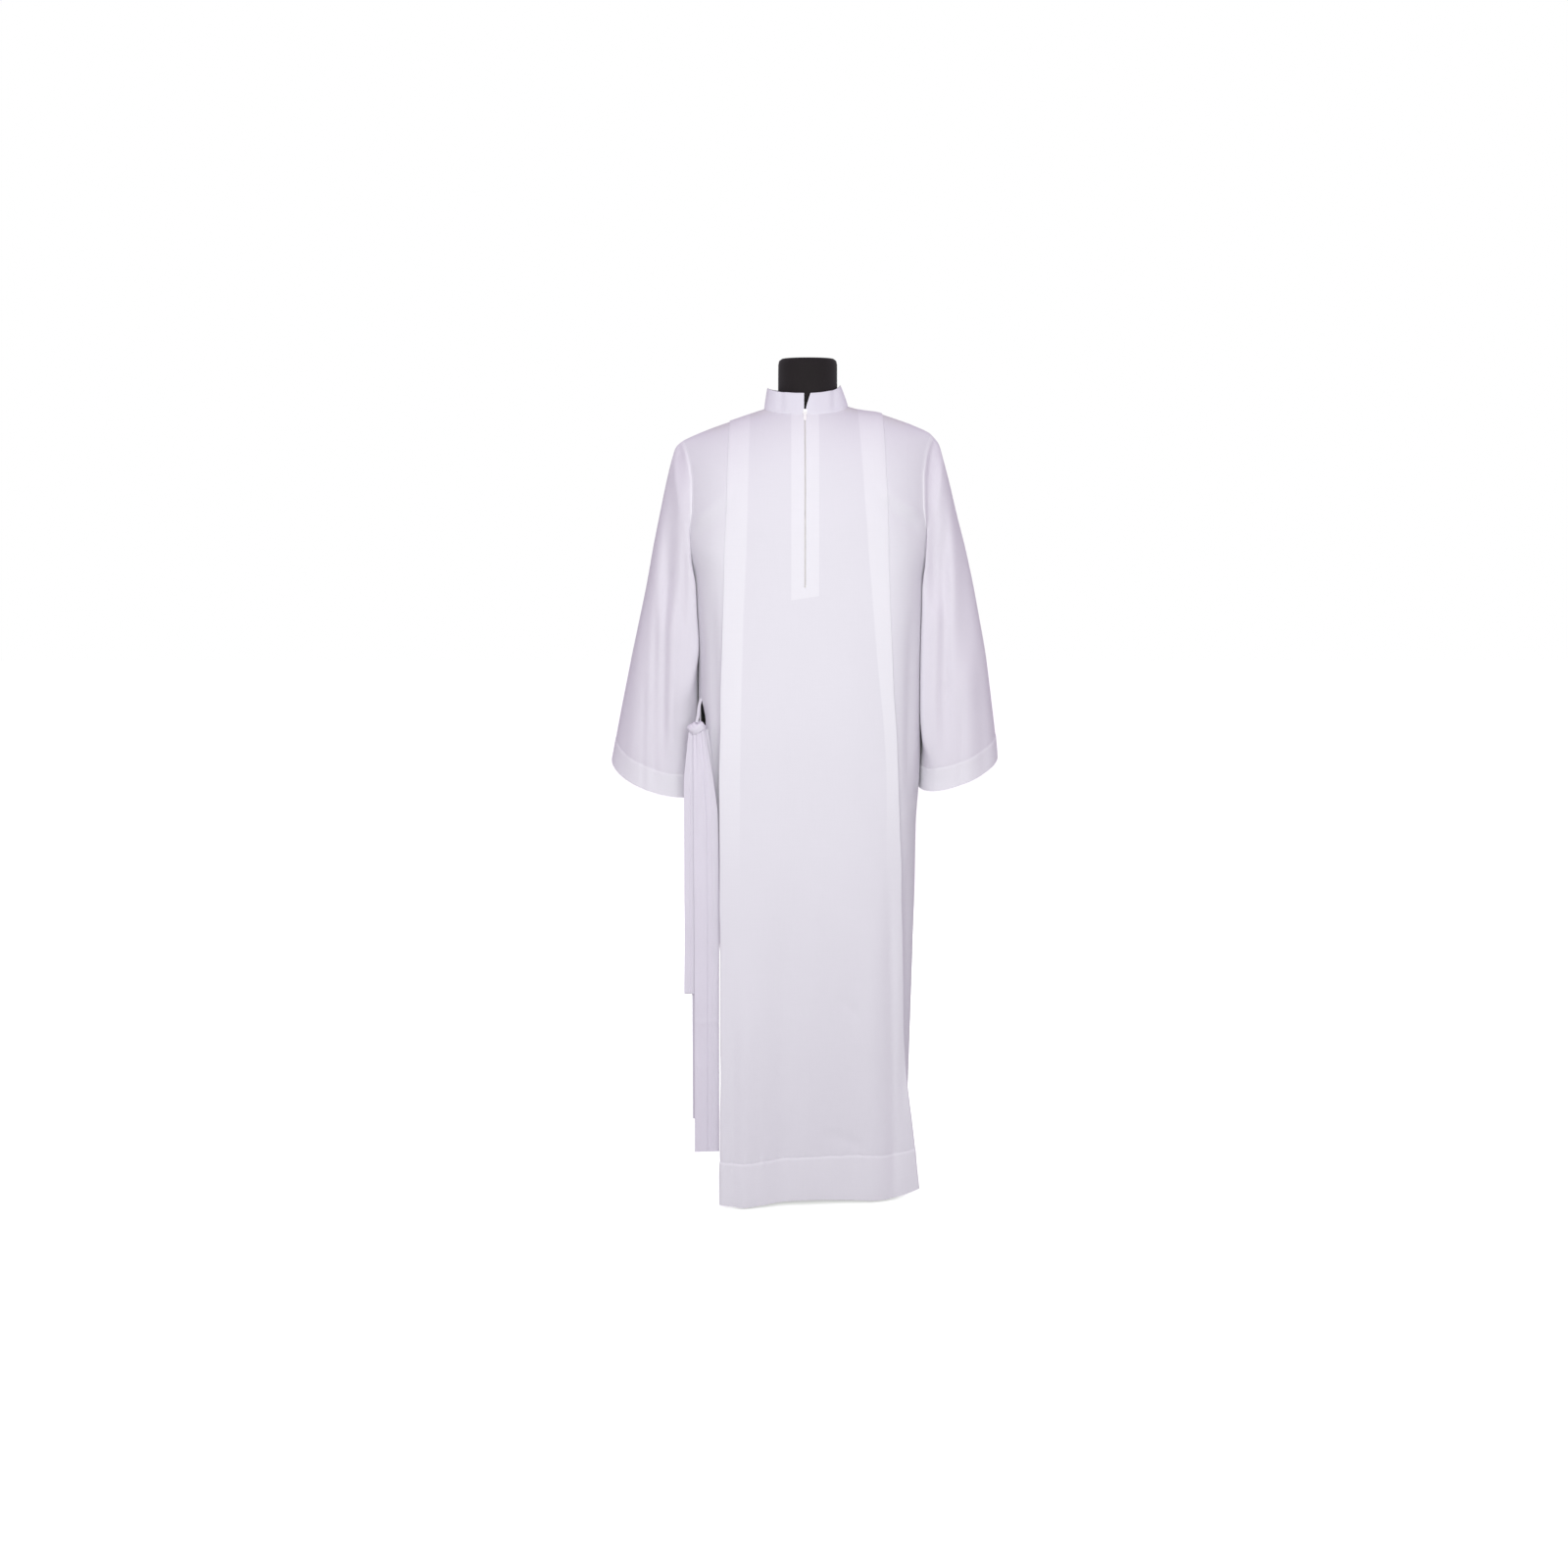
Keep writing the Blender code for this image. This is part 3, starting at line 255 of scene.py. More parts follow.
# The panels: on each side how far out the pleat's fold lies, how far in its folded layer reaches
# and the outer layer's depth there, and the depth at the centre
PANEL_NAMES = (
    "height left_fold left_under left_depth centre_depth right_fold right_under right_depth"
)
FRONT = Table(PANEL_NAMES, (
    (1480, 141, 103, 100, 112, 134, 86, 100),
    (1330, 146, 107, 106, 122, 141, 98, 106),
    (1255, 149, 109, 114, 130, 144, 105, 114),
    (1065, 155, 117, 124, 136, 151, 121, 120),
    (800, 161, 123, 135, 138, 166, 143, 119),
    (550, 161, 124, 142, 138, 175, 145, 110),
    (256, 161, 123, 148, 134, 184, 156, 100),
    (140, 162, 123, 149, 131, 198, 160, 95),
    (0, 163, 123, 150, 128, 212, 163, 90),
))
BACK = Table(PANEL_NAMES, (
    (1480, 140, 102, 88, 98, 134, 92, 88),
    (1380, 144, 105, 100, 112, 139, 98, 100),
    (1280, 148, 108, 107, 119, 144, 104, 107),
    (1100, 152, 113, 106, 115, 150, 112, 106),
    (900, 155, 117, 114, 123, 156, 119, 114),
    (600, 155, 119, 126, 134, 163, 126, 126),
    (300, 153, 118, 134, 141, 168, 131, 132),
    (0, 152, 117, 140, 147, 172, 134, 136),
))

# The sides: how far out each reaches, and how far the left side seam lies to the front (negative)
SIDES = Table("height left_width right_width left_seam", (
    (1300, 236, 236, 0), (1250, 232, 233.5, 0), (1210, 223.5, 226.5, 0), (1170, 213, 218.5, -40),
    (1100, 208, 215.5, -120), (1020, 203.5, 213, -220), (940, 203, 212.6, -290),
    (890, 202.5, 212.6, -300), (800, 193, 211, -280), (700, 183, 205, -220), (600, 176, 204, -180),
    (450, 165, 201, -120), (250, 160, 196, -60), (0, 160, 189, -20),
))

# The armholes: how far each edge turns off the widest place on its way up
ARMHOLE = Table("climb turn", (
    (0, 0), (15, 110), (50, 200), (120, 290), (230, 370), (420, 430), (600, 430), (740, 400),
    (870, 345), (1000, 225),
))

# The folded layers' spacing and the panels' slow waves, the side slits' gap, and the hem's lift
LAYERS = Table("height spacing wave", (
    (1480, 1, 0), (1250, 1.1, 0), (900, 1.7, 1), (500, 3.4, 3), (0, 6.2, 6),
))
SLIT = Table("height gap", (
    (795, 0.1), (830, 4), (870, 8), (905, 12), (930, 11), (945, 0.1),
))
HEM = Table("across height", (
    (-165, 9), (-120, 3.5), (-45, 8.5), (0, 9.5), (100, 6), (145, 4.5), (180, 8.5), (211, 16.5),
))

# The sleeves, from the armhole to the cuff
SLEEVE_NAMES = (
    "share left_out right_out left_height right_height inner_height front back centre"
    " left_slant right_slant"
)
SLEEVE_ROWS = Table(SLEEVE_NAMES, (
    (80, 249, 249, 1388, 1388, 1196, 71, 71, 1, 0, 0),
    (160, 261, 262, 1342, 1342, 1172, 73, 75, 3, 1, 1),
    (260, 274, 277, 1283, 1283, 1132, 74, 77, 6, 4, 3),
    (360, 286.2, 292.6, 1226, 1226, 1086, 75, 79, 9, 7, 5),
    (460, 298.5, 308, 1161, 1161, 1032, 76, 80, 12, 11, 8),
    (570, 313, 321.5, 1094, 1094, 978, 77, 81, 14, 15, 10),
    (680, 328.5, 334.9, 1024, 1024, 925, 78, 81, 16, 19, 13),
    (790, 343, 344.6, 955, 956, 873, 78, 81, 18, 24, 15),
    (900, 356.6, 353.2, 888, 891, 825, 78, 81, 19, 29, 18),
    (970, 364.5, 358.2, 846, 851, 795, 77, 80, 20, 32, 20),
    (1000, 368.5, 359.7, 826, 832, 778, 77, 80, 20, 33, 20),
))

# The collar's two front ends across, as it climbs
COLLAR_ENDS = Table("climb left_end right_end", (
    (0, -7.2, -4.5), (200, -7.2, -4), (1000, -7.2, 4.4),
))

# The sash's stretches, from their lowest place up to the knot
END_FRONT = Table("height centre width", (
    (894, -198, 21), (856, -195, 28), (800, -190.5, 37), (730, -186.8, 45), (520, -185.8, 46),
    (340, -186.8, 46), (210, -187.2, 46), (101.5, -187.6, 46),
))
END_BACK = Table("height centre width", (
    (895, -195.5, 26), (846, -193, 34), (786, -193.5, 42), (700, -192.5, 45), (450, -192, 45),
    (161.4, -192, 45),
))
BIGHT = Table("height centre width", (
    (894, -207.5, 19), (851, -206.2, 31), (796, -204.5, 44), (686, -204.3, 45), (530, -205, 45),
    (404.5, -206.4, 45),
))

# The form: height, half-width, and depth in front and behind. Along the shoulders: height and depth
FORM_ROWS = (
    (780, 150, 90, 88), (785, 158, 97, 94), (800, 171, 105, 100), (840, 187, 113, 106),
    (885, 195, 116, 108), (925, 194, 115, 105), (1000, 184, 109, 99), (1080, 176, 106, 94),
    (1170, 179, 112, 98), (1260, 186, 114, 101), (1330, 190, 102, 96), (1380, 192, 84, 82),
    (1405, 190, 68, 68), (1420, 186, 56, 56), (1432, 179, 47, 47), (1478, 67, 48, 43),
    (1486, 58, 51, 44), (1500, 54.5, 53, 44), (1556, 54, 53, 44), (1562.5, 52.5, 51.5, 42.5),
    (1566, 48, 47, 38),
)
FORM_SHOULDER_ROWS = (
    (1439.5, 40), (1447, 40), (1455, 40), (1463, 41), (1471, 43),
)

# Each hanging end of the sash, in metres: its node, table and depth, its gathers' depth and seed,
# and its cross crease's height and depth
SASH_ENDS = (
    ("sash_end_front", END_FRONT, -0.1220, 0.0017, 0.4, (0.350, -0.0012)),
    ("sash_end_back", END_BACK, -0.1065, 0.0010, 1.7, (0.420, -0.0008)),
)

# Gathers: waves across the width, lean, and reach below the knot. Pressed lines: place across,
# depth and width, with places and widths in shares of the sash's width
END_GATHERS = (2.4, 5, 0.11)
BIGHT_GATHERS = (1.9, 4, 0.12)
END_PRESSES = ((0.03, 0.0013, 0.018), (0.27, 0.0006, 0.02), (-0.33, -0.0006, 0.10))
BIGHT_PRESSES = ((-0.26, 0.0012, 0.018), (-0.02, 0.0011, 0.020), (-0.13, -0.0005, 0.05))

# The knot's two wraps: lean across and sideways, half-width, and share of the knot's size
KNOT_WRAPS = ((0.62, 0.25, 0.0072, 0.90), (-0.85, -0.1, 0.0060, 0.84))

# Rings of one stitch: place along its pitch, and size and lift in shares of the thread
STITCH_RINGS = (
    (-0.36, 0.25, -0.9), (-0.288, 0.75, -0.2), (-0.108, 1, 0.35),
    (0.108, 1, 0.35), (0.288, 0.75, -0.2), (0.36, 0.25, -0.9),
)

# Soft troughs (negative) and ridges of the cloth as seen from the front or the back, each along a
# line: start x and z, end x and z, how far its middle bows to the right, width and height
FOLDS = {
    "front": (
        (-138, 440, -140, -120, 0, 9, -3.4),
        (-112, 470, -117, -120, 0, 14, 2.6),
        (-48, 640, -53, -140, 4, 27, -3.4),
        (12, 760, 9, -160, -4, 28, 3),
        (74, 560, 82, -120, 3, 24, -2.6),
        (120, 660, 130, -140, 0, 18, 2.4),
        (148, 700, 166, -120, 2, 10, -3.6),
        (50, 405, 98, 350, 3, 9, -1.3),
        (26, 140, 112, 106, 2, 8, -1.4),
        (-30, 1020, -40, 560, 4, 20, 1.2),
        (-176, 1180, -170, 760, 3, 9, -3),
        (192, 1150, 186, 740, -3, 8, -3.2),
        (204, 1150, 199, 780, -2, 6, 1.6),
        (126, 1342, 226, 1282, -9, 12, 2.4),
        (126, 1318, 226, 1250, -9, 15, -3),
        (-130, 1345, -226, 1262, 8, 12, 1.8),
        (-130, 1320, -226, 1230, 8, 15, -2.2),
        (185, 700, 178, 100, 2, 8, -3),
    ),
    "back": (
        (-128, 560, -132, -120, 2, 12, -3.4),
        (-86, 700, -90, -140, 0, 18, 2.8),
        (-36, 660, -40, -140, 3, 24, -3.4),
        (20, 800, 22, -160, -3, 28, 3.2),
        (80, 620, 86, -120, 3, 22, -3),
        (128, 560, 138, -120, 2, 13, 2.8),
        (-20, 1040, -30, 620, -4, 20, -1.4),
        (186, 1160, 182, 720, 3, 10, -3.2),
        (-180, 1160, -172, 720, -3, 10, -3.2),
        (150, 1320, 205, 1235, 6, 12, 2.4),
        (-150, 1320, -203, 1235, -6, 12, 2.4),
        (-70, 330, -20, 280, 3, 10, -1.4),
        (178, 640, 170, 60, 2, 9, -3),
        (-160, 620, -150, 60, 2, 9, -2.8),
    ),
    "sleeve_left_front": (
        (-244, 1540, -256, 1060, 0, 19, -21),
        (-255, 1290, -270, 790, -2, 8.5, -7),
        (-276, 1170, -286, 740, -2, 7, -5.6),
        (-233, 1330, -254, 800, -4, 9, 4),
        (-300, 1240, -330, 760, -3, 12, 2.6),
        (-225, 1250, -233, 1060, 2, 5, -3.6),
        (-300, 1020, -308, 720, 0, 4.5, -2.2),
    ),
    "sleeve_left_back": (
        (-248, 1400, -278, 800, -4, 10, -6.8),
        (-262, 1320, -302, 740, 3, 11, 3.4),
        (-234, 1240, -248, 760, 2, 9, 3),
        (-310, 1140, -336, 740, 2, 10, -3),
    ),
    "sleeve_right_front": (
        (229, 1500, 240, 1080, 0, 20, -20.5),
        (252, 1400, 251, 820, 1, 10.5, -8),
        (234, 1280, 237, 790, 2, 9, 3.4),
        (272, 1440, 298, 960, 0, 18, -9),
        (285, 1160, 305, 740, 3, 15, 3),
        (228, 1240, 232, 1100, 2, 5, -3),
        (287, 960, 283, 740, 0, 4, -1.6),
        (312, 1080, 334, 720, 2, 10, -2.2),
    ),
    "sleeve_right_back": (
        (250, 1400, 262, 790, 4, 10, -6.8),
        (270, 1300, 296, 740, -3, 12, 3.6),
        (234, 1230, 240, 780, 2, 9, 2.8),
        (308, 1140, 330, 740, 2, 11, -3),
    ),
}


def soft_step(value, low, high):
    share = np.clip((value - low) / (high - low), 0, 1)
    return share * share * (3 - 2 * share)


def bell(value, width):
    """1 where the value is 0, and softly down to 0 about two widths away."""
    return np.exp(-((value / width) ** 2))


def ripple(along, length, seed):
    """A smooth uneven wave between about -1 and 1."""
    wave = np.sin(along * 2 * math.pi / length + seed)
    wave += 0.6 * np.sin(along * 2 * math.pi / (length * 0.618) + seed * 2.3)
    wave += 0.4 * np.sin(along * 2 * math.pi / (length * 1.71) + seed * 3.7)
    return wave / 2


def unit(vectors):
    return vectors / np.linalg.norm(vectors, axis=-1, keepdims=True)


def run_along(line):
    """How far along a line of points each point lies."""
    return np.concatenate([[0], np.linalg.norm(np.diff(line, axis=0), axis=-1).cumsum()])


def points_at(place, along, line):
    return np.stack([np.interp(place, along, line[:, axis]) for axis in range(3)], axis=-1)


def folds_at(name, x, z):
    """How far the cloth at x and z is pushed out by the folds of that piece."""
    height = np.zeros(np.broadcast(x, z).shape)
    for row in FOLDS[name]:
        start_x, start_z, end_x, end_z, bow, width, depth = (value / 1000 for value in row)
        run_x, run_z = end_x - start_x, end_z - start_z
        length = math.hypot(run_x, run_z)
        away_x, away_z = x - start_x, z - start_z
        share = (away_x * run_x + away_z * run_z) / length**2
        off = (away_x * run_z - away_z * run_x) / length + bow * 4 * share * (1 - share)
        fade = soft_step(share, 0, 0.3) * (1 - soft_step(share, 0.75, 1))
        height = height + depth * fade * bell(off, width)
    return height


def side_name(side):
    return "left" if side < 0 else "right"


def shoulder_swell(x):
    left, right = (SHOULDER_SWELL.read(name, abs(x)) for name in ("left", "right"))
    return np.where(x < 0, left, right)


def ridge(x):
    """Height of the shoulder line at x."""
    fall = (HALF_SHOULDER - np.hypot(x, RIDGE_SOFTNESS)) * SHOULDER_SLOPE
    return SHOULDER_TIP + fall + SHOULDER_TILT * x + shoulder_swell(x)


def rounding(below):
    """Share of the body's depth that is reached this far below the shoulder line."""
    share = np.clip(below / SHOULDER_DROP, 0, 1)
    return np.sqrt(1 - (1 - share) ** 2)


def quarter(angle):
    """Share of its width that a quarter superellipse reaches at an angle."""
    sine, cosine = np.sin(angle), np.cos(angle)
    return sine * (abs(sine) ** SIDE_POWER + abs(cosine) ** SIDE_POWER) ** (-1 / SIDE_POWER)


def arc(share):
    """Share of its depth that a quarter superellipse keeps at a share of its width."""
    return (1 - share**SIDE_POWER) ** (1 / SIDE_POWER)


def panel_depth(panel, x, height):
    """Depth of a panel's outer layer: a curve through its two folds and its centre, with waves."""
    left, right = -panel.read("left_fold", height), panel.read("right_fold", height)
    share = (x - left) / (right - left)
    start = panel.read("left_depth", height) * (1 - share) * (1 - 2 * share)
    middle = panel.read("centre_depth", height) * 4 * share * (1 - share)
    end = panel.read("right_depth", height) * share * (2 * share - 1)
    wave = LAYERS.read("wave", height) * np.sin(2 * math.pi * (1.5 * share + 0.1))
    return start + middle + end + wave


def side_start(panel, name, at, width):
    """Where the rounded side of a panel starts, that far out from the middle."""
    start = np.minimum(panel.read(name + "_fold", at), width - SIDE_ROUND)
    return np.maximum(start, panel.read(name + "_under", at))


def side_share(panel, side, x, at):
    """How far x lies from the panel's flat part (0) to the widest place (1)."""
    width = SIDES.read(side_name(side) + "_width", at)
    start = side_start(panel, side_name(side), at, width)
    return np.clip((abs(x) - start) / (width - start), 0, 1)


def body_depth(panel, side, x, z, at, drop):
    """Depth of the body at x: its panel first, then rounded off out to the widest place."""
    return (panel_depth(panel, x, z) - drop) * arc(side_share(panel, side, x, at))


def side_edge(side, y, z):
    """How far out the body's side reaches at y and z."""
    name, at = side_name(side), np.minimum(z, ARMPIT)
    reach = SIDES.read(name + "_width", at)
    found = reach
    for panel, own in ((FRONT, y < 0), (BACK, y >= 0)):
        depth = panel_depth(panel, side * (reach - SIDE_ROUND / 2), at)
        depth = depth - 2 * LAYERS.read("spacing", at)
        start = side_start(panel, name, at, reach)
        share = arc(np.clip(abs(y) / depth, 0, 1))
        found = np.where(own, start + (reach - start) * share, found)
    return found


def neckline(half_width, x, lowest):
    """Height of the neckline at x: a tilted ring between the shoulder seams."""
    turn = np.minimum(abs(x) / half_width, 1)
    top = ridge(np.copysign(half_width, x))
    return top - (top - lowest) * np.sqrt(1 - turn * turn)


def row_places():
    """Heights up to the armpit, closer at the hem's seam, then shares of the way up."""
    hem = alb().hem_band
    low = np.concatenate([
        np.linspace(0, hem - 0.011, 8),
        np.linspace(hem - 0.009, hem + 0.011, 15),
        np.linspace(hem + 0.016, ARMPIT, 118),
    ])
    high = (1 - np.cos(math.pi * np.linspace(0, 1, HIGH_STEPS))) / 2
    return np.concatenate([low, ARMPIT + high[1:]]), high


class Body:
    """The middle surface of the front or of the back, as a grid of rows and columns."""

    def __init__(self, name, panel, other, facing, neck_lowest):
        self.name, self.panel, self.other = name, panel, other
        self.facing, self.neck_lowest = facing, neck_lowest

    def neck_place(self, side, fold):
        return side * NECK_SHARE * fold + ZIP_X * (1 - NECK_SHARE) ** 2

    def neck_half(self, side):
        """Half-width of the neckline on one side."""
        return abs(self.neck_place(side, self.panel.read(side_name(side) + "_fold", SHOULDER_TIP)))

    def y_at(self, x, z):
        """Where the panel's outer layer lies at x and z."""
        climb = np.clip((z - ARMPIT) / (SHOULDER_TIP - ARMPIT), 0, 1)
        depth = panel_depth(self.panel, x, z) * rounding(ridge(x) - z)
        return self.facing * (depth + SEAM / 2 * climb)

    def columns(self, side, at, under):
        """Each column's kind, share along the side, distance out and layer, at every row."""
        fold = self.panel.read(side_name(side) + "_fold", at)
        wander = PLEAT_WANDER * ripple(at, PLEAT_WANDER_LENGTH, self.facing + 2 * side)
        fold = fold + wander * (1 - soft_step(at, 1.30, 1.40))
        lip = LAYERS.read("spacing", at) / 2
        turns = np.linspace(0, math.pi, TURN_COLUMNS)[1:-1]
        found = [("side", share, None, 2) for share in np.linspace(0, 1, SIDE_COLUMNS)]
        for turn in turns:
            out = under + lip - lip * math.sin(turn)
            found.append(("turn", 0, out, 1.5 + math.cos(turn) / 2))
        for share in np.linspace(0, 1, UNDER_COLUMNS):
            found.append(("under", 0, under + lip + (fold - under - 2 * lip) * share, 1))
        for turn in turns:
            out = fold - lip + lip * math.sin(turn)
            found.append(("turn", 0, out, 0.5 + math.cos(turn) / 2))
        for share in np.linspace(1, 0, BAND_STEPS):
            found.append(("band", 0, under + (fold - lip - under) * share, 0))
        neck = side * self.neck_place(side, fold)
        for share in np.linspace(1, 0, PANEL_COLUMNS)[1:-1]:
            found.append(("band", 0, neck + (under - neck) * share, 0))
        slit = side * (ZIP_X + side * SLIT_HALF)
        for turn in np.linspace(0, math.pi / 2, NECK_COLUMNS):
            found.append(("neck", 0, slit + (neck - slit) * math.cos(turn), 0))
        return found

    def seam_turn(self, side, rows, climb, at):
        """Where the side edge lies: -1 at the front, 0 at the widest place, 1 at the back."""
        seam = SIDES.read("left_seam", at) if side < 0 else 0
        gap = SLIT.read("gap", at) * (1 if side < 0 else RIGHT_SLIT_SHARE)
        gap = np.where((rows > SLIT_BOTTOM) & (rows < SLIT_TOP), np.maximum(gap, SEAM), SEAM)
        edge = seam + self.facing * gap / 2 / SIDE_ARC
        return np.where(rows > ARMPIT, self.facing * ARMHOLE.read("turn", climb), edge)

    def half(self, side, rows):
        """One half from its side seam in to the zip's line, with what its material reads."""
        name, facing = side_name(side), self.facing
        high = rows > ARMPIT
        climb = np.where(high, rows - ARMPIT, 0.0)
        at = np.where(high, ARMPIT + climb * (SHOULDER_TIP - ARMPIT), rows)
        spacing = LAYERS.read("spacing", at)
        under, width = self.panel.read(name + "_under", at), SIDES.read(name + "_width", at)
        edge = self.seam_turn(side, rows, climb, at)
        points, doubled, open_edge = [], [], []
        for kind, share, out, layer in self.columns(side, at, under):
            beside = kind == "side"
            drop = layer * spacing
            if beside:
                turn = edge + (facing - edge) * share
                own = turn * facing >= 0
                inner = np.where(own, under, self.other.read(name + "_under", at)) + spacing / 2
                x = side * (inner + (width - inner) * quarter((1 - abs(turn)) * math.pi / 2))
            else:
                x = side * out
            if kind == "neck":
                top = neckline(self.neck_half(side), x, self.neck_lowest)
            else:
                top = ridge(x) - drop
            hem = HEM.read("height", x) if facing < 0 else SIDE_HEM + 0 * x
            if beside:
                hem = SIDE_HEM + (hem - SIDE_HEM) * share
            z = np.where(high, ARMPIT + climb * (top - ARMPIT), rows + hem * (1 - rows / ARMPIT))
            if beside:
                panels = self.panel, self.other
                depths = (body_depth(panel, side, x, z, at, drop) for panel in panels)
                depth = np.where(own, *depths) * np.where(turn == 0, facing, np.sign(turn))
            else:
                depth = facing * (panel_depth(self.panel, x, z) - drop)
            y = depth * rounding(ridge(x) - drop - z) + facing * SEAM / 2 * climb
            push = folds_at(self.name, x, z) * (1 - soft_step(rows, ARMPIT + 0.8, ARMPIT + 1))
            lean = 0.0
            if beside:
                push = push * soft_step(share, 0.02, 0.3)
                lean = side_share(self.panel, side, x, at) ** LEAN_POWER * math.pi / 2
            if beside and side < 0 and facing < 0:
                low, start, stop, top = SLIT_DRAWN_ROWS
                drawn = soft_step(rows, low, start) * (1 - soft_step(rows, stop, top))
                x = x + SLIT_DRAWN * drawn * np.clip(1 - share / 0.4, 0, 1) ** 1.5
            x = x + push * side * np.sin(lean)
            y = y + push * facing * np.cos(lean)
            if kind == "neck" and facing < 0:
                near = np.clip(1 - (abs(x - ZIP_X) - SLIT_HALF) / SLIT_ROLL, 0, 1)
                y = y + SLIT_ROLL_DEPTH * near**2 * (rows > ZIP_END)
            points.append(np.stack([x, y, z], axis=1))
            inside = abs(x) - under if kind in ("band", "neck") else 0 * x + INSIDE
            doubled.append(0 * x - INSIDE if beside else inside)
            open_edge.append(0 * x + (share if beside else 1))
        return [np.stack(part, axis=1) for part in (points, doubled, open_edge)]

    def build(self):
        """The grid from the left edge to the right one for the front, and back for the back."""
        self.rows, self.high = row_places()
        first, second = (self.half(side, self.rows) for side in (self.facing, -self.facing))
        joined = [np.concatenate([a, b[:, ::-1]], axis=1) for a, b in zip(first, second)]
        self.points, self.doubled, self.open_edge = joined
        return self

    def armhole(self, side):
        """The edge that a sleeve is set into, from the armpit up."""
        first = (side < 0) == (self.facing < 0)
        return self.points[-HIGH_STEPS:, 0 if first else -1]


BODIES = {
    "front": Body("front", FRONT, BACK, -1, NECK_FRONT),
    "back": Body("back", BACK, FRONT, 1, NECK_BACK),
}


def grid_normals(points, closed=False):
    rows = np.gradient(points, axis=0)
    if closed:
        across = np.roll(points, -1, axis=1) - np.roll(points, 1, axis=1)
    else:
        across = np.gradient(points, axis=1)
    normal = np.cross(across, rows)
    return normal / np.maximum(np.linalg.norm(normal, axis=-1, keepdims=True), 1e-12)


def grid_places(points, closed=False):
    """Each grid point's place on the flat cloth, in metres across and along."""
    wide = np.concatenate([points, points[:, :1]], axis=1) if closed else points
    across = np.linalg.norm(np.diff(wide, axis=1), axis=-1).mean(axis=0)
    along = np.linalg.norm(np.diff(points, axis=0), axis=-1).mean(axis=1)
    across, along = (np.concatenate([[0], steps.cumsum()]) for steps in (across, along))
    return np.stack(np.meshgrid(across, along), axis=-1)


def shell(
    node, points, thickness, material,
    normal=None, closed=False, skip=None, values=None,
):
    """A thin closed shell of cloth that stands for a node, with its flat places as its UV map."""
    name = node + "_cloth"
    rows, columns = points.shape[:2]
    size = rows * columns
    if normal is None:
        normal = grid_normals(points, closed)
    half = normal * np.broadcast_to(thickness, (rows, columns))[..., None] / 2
    both = np.concatenate([(points + half).reshape(-1, 3), (points - half).reshape(-1, 3)])
    cells = np.arange(rows - 1), np.arange(columns if closed else columns - 1)
    i, j = np.meshgrid(*cells, indexing="ij")
    kept = np.ones(i.shape, bool) if skip is None else ~skip
    i, j = i[kept], j[kept]
    k = (j + 1) % columns
    corners = [i * columns + j, i * columns + k, (i + 1) * columns + k, (i + 1) * columns + j]
    outer = np.stack(corners, axis=1)
    flat = grid_places(points, closed)
    flat = np.stack([flat[i, j], flat[i, j + 1], flat[i + 1, j + 1], flat[i + 1, j]], axis=1)
    starts, ends = outer.reshape(-1), np.roll(outer, -1, axis=1).reshape(-1)
    start_flat, end_flat = flat.reshape(-1, 2), np.roll(flat, -1, axis=1).reshape(-1, 2)
    alone = ~np.isin(starts * size + ends, ends * size + starts)
    s, e = starts[alone], ends[alone]
    rim = np.stack([e, s, s + size, e + size], axis=1)
    start_flat, end_flat = start_flat[alone], end_flat[alone]
    rim_flat = np.stack([end_flat, start_flat, start_flat, end_flat], axis=1)
    faces = np.concatenate([outer, outer[:, ::-1] + size, rim])
    places = np.concatenate([flat, flat[:, ::-1], rim_flat])
    a, b, c, d = (both[faces[:, corner]] for corner in range(4))
    if sum(np.einsum("ij,ij->i", a, np.cross(*pair)).sum() for pair in ((b, c), (c, d))) < 0:
        faces, places = faces[:, ::-1], places[:, ::-1]
    mesh = bpy.data.meshes.new(name)
    mesh.from_pydata(both.tolist(), [], faces.tolist())
    mesh.uv_layers.new(name="cloth").data.foreach_set("uv", places.astype(np.float32).ravel())
    for key, grid in (values or {}).items():
        layer = mesh.attributes.new(key, "FLOAT", "POINT")
        layer.data.foreach_set("value", np.tile(np.asarray(grid, np.float32).ravel(), 2))
    mesh.shade_smooth()
    mesh.set_sharp_from_angle(angle=math.radians(55))
    return add_piece(name, mesh, material, node)


def add_piece(name, mesh, material, node=None):
    """A visible piece on the garment's body and the node that it stands for."""
    item = bpy.data.objects.new(name, mesh)
    mesh.materials.append(material)
    bpy.context.scene.collection.objects.link(item)
    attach(item, GARMENT)
    if node:
        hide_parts(node)
    return item


def finish_nodes(names, material):
    """Gives nodes that keep the frame's own shape their material."""
    for name in names:
        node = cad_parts[name]
        node.data.materials.clear()
        node.data.materials.append(material)


def faces_mesh(name, points, faces, sharp=55):
    mesh = bpy.data.meshes.new(name)
    mesh.from_pydata([tuple(point) for point in points], [], faces)
    mesh.validate()
    mesh.shade_smooth()
    mesh.set_sharp_from_angle(angle=math.radians(sharp))
    return mesh


def ring_faces(rings, sides, closed=False, start=0):
    """Faces between rings of points, with the ends filled or the last ring joined to the first."""
    faces = []
    for ring in range(rings if closed else rings - 1):
        low, high = start + ring * sides, start + (ring + 1) % rings * sides
        for step in range(sides):
            following = (step + 1) % sides
            faces.append((low + step, low + following, high + following, high + step))
    if not closed:
        faces.append(tuple(start + step for step in reversed(range(sides))))
        faces.append(tuple(start + (rings - 1) * sides + step for step in range(sides)))
    return faces


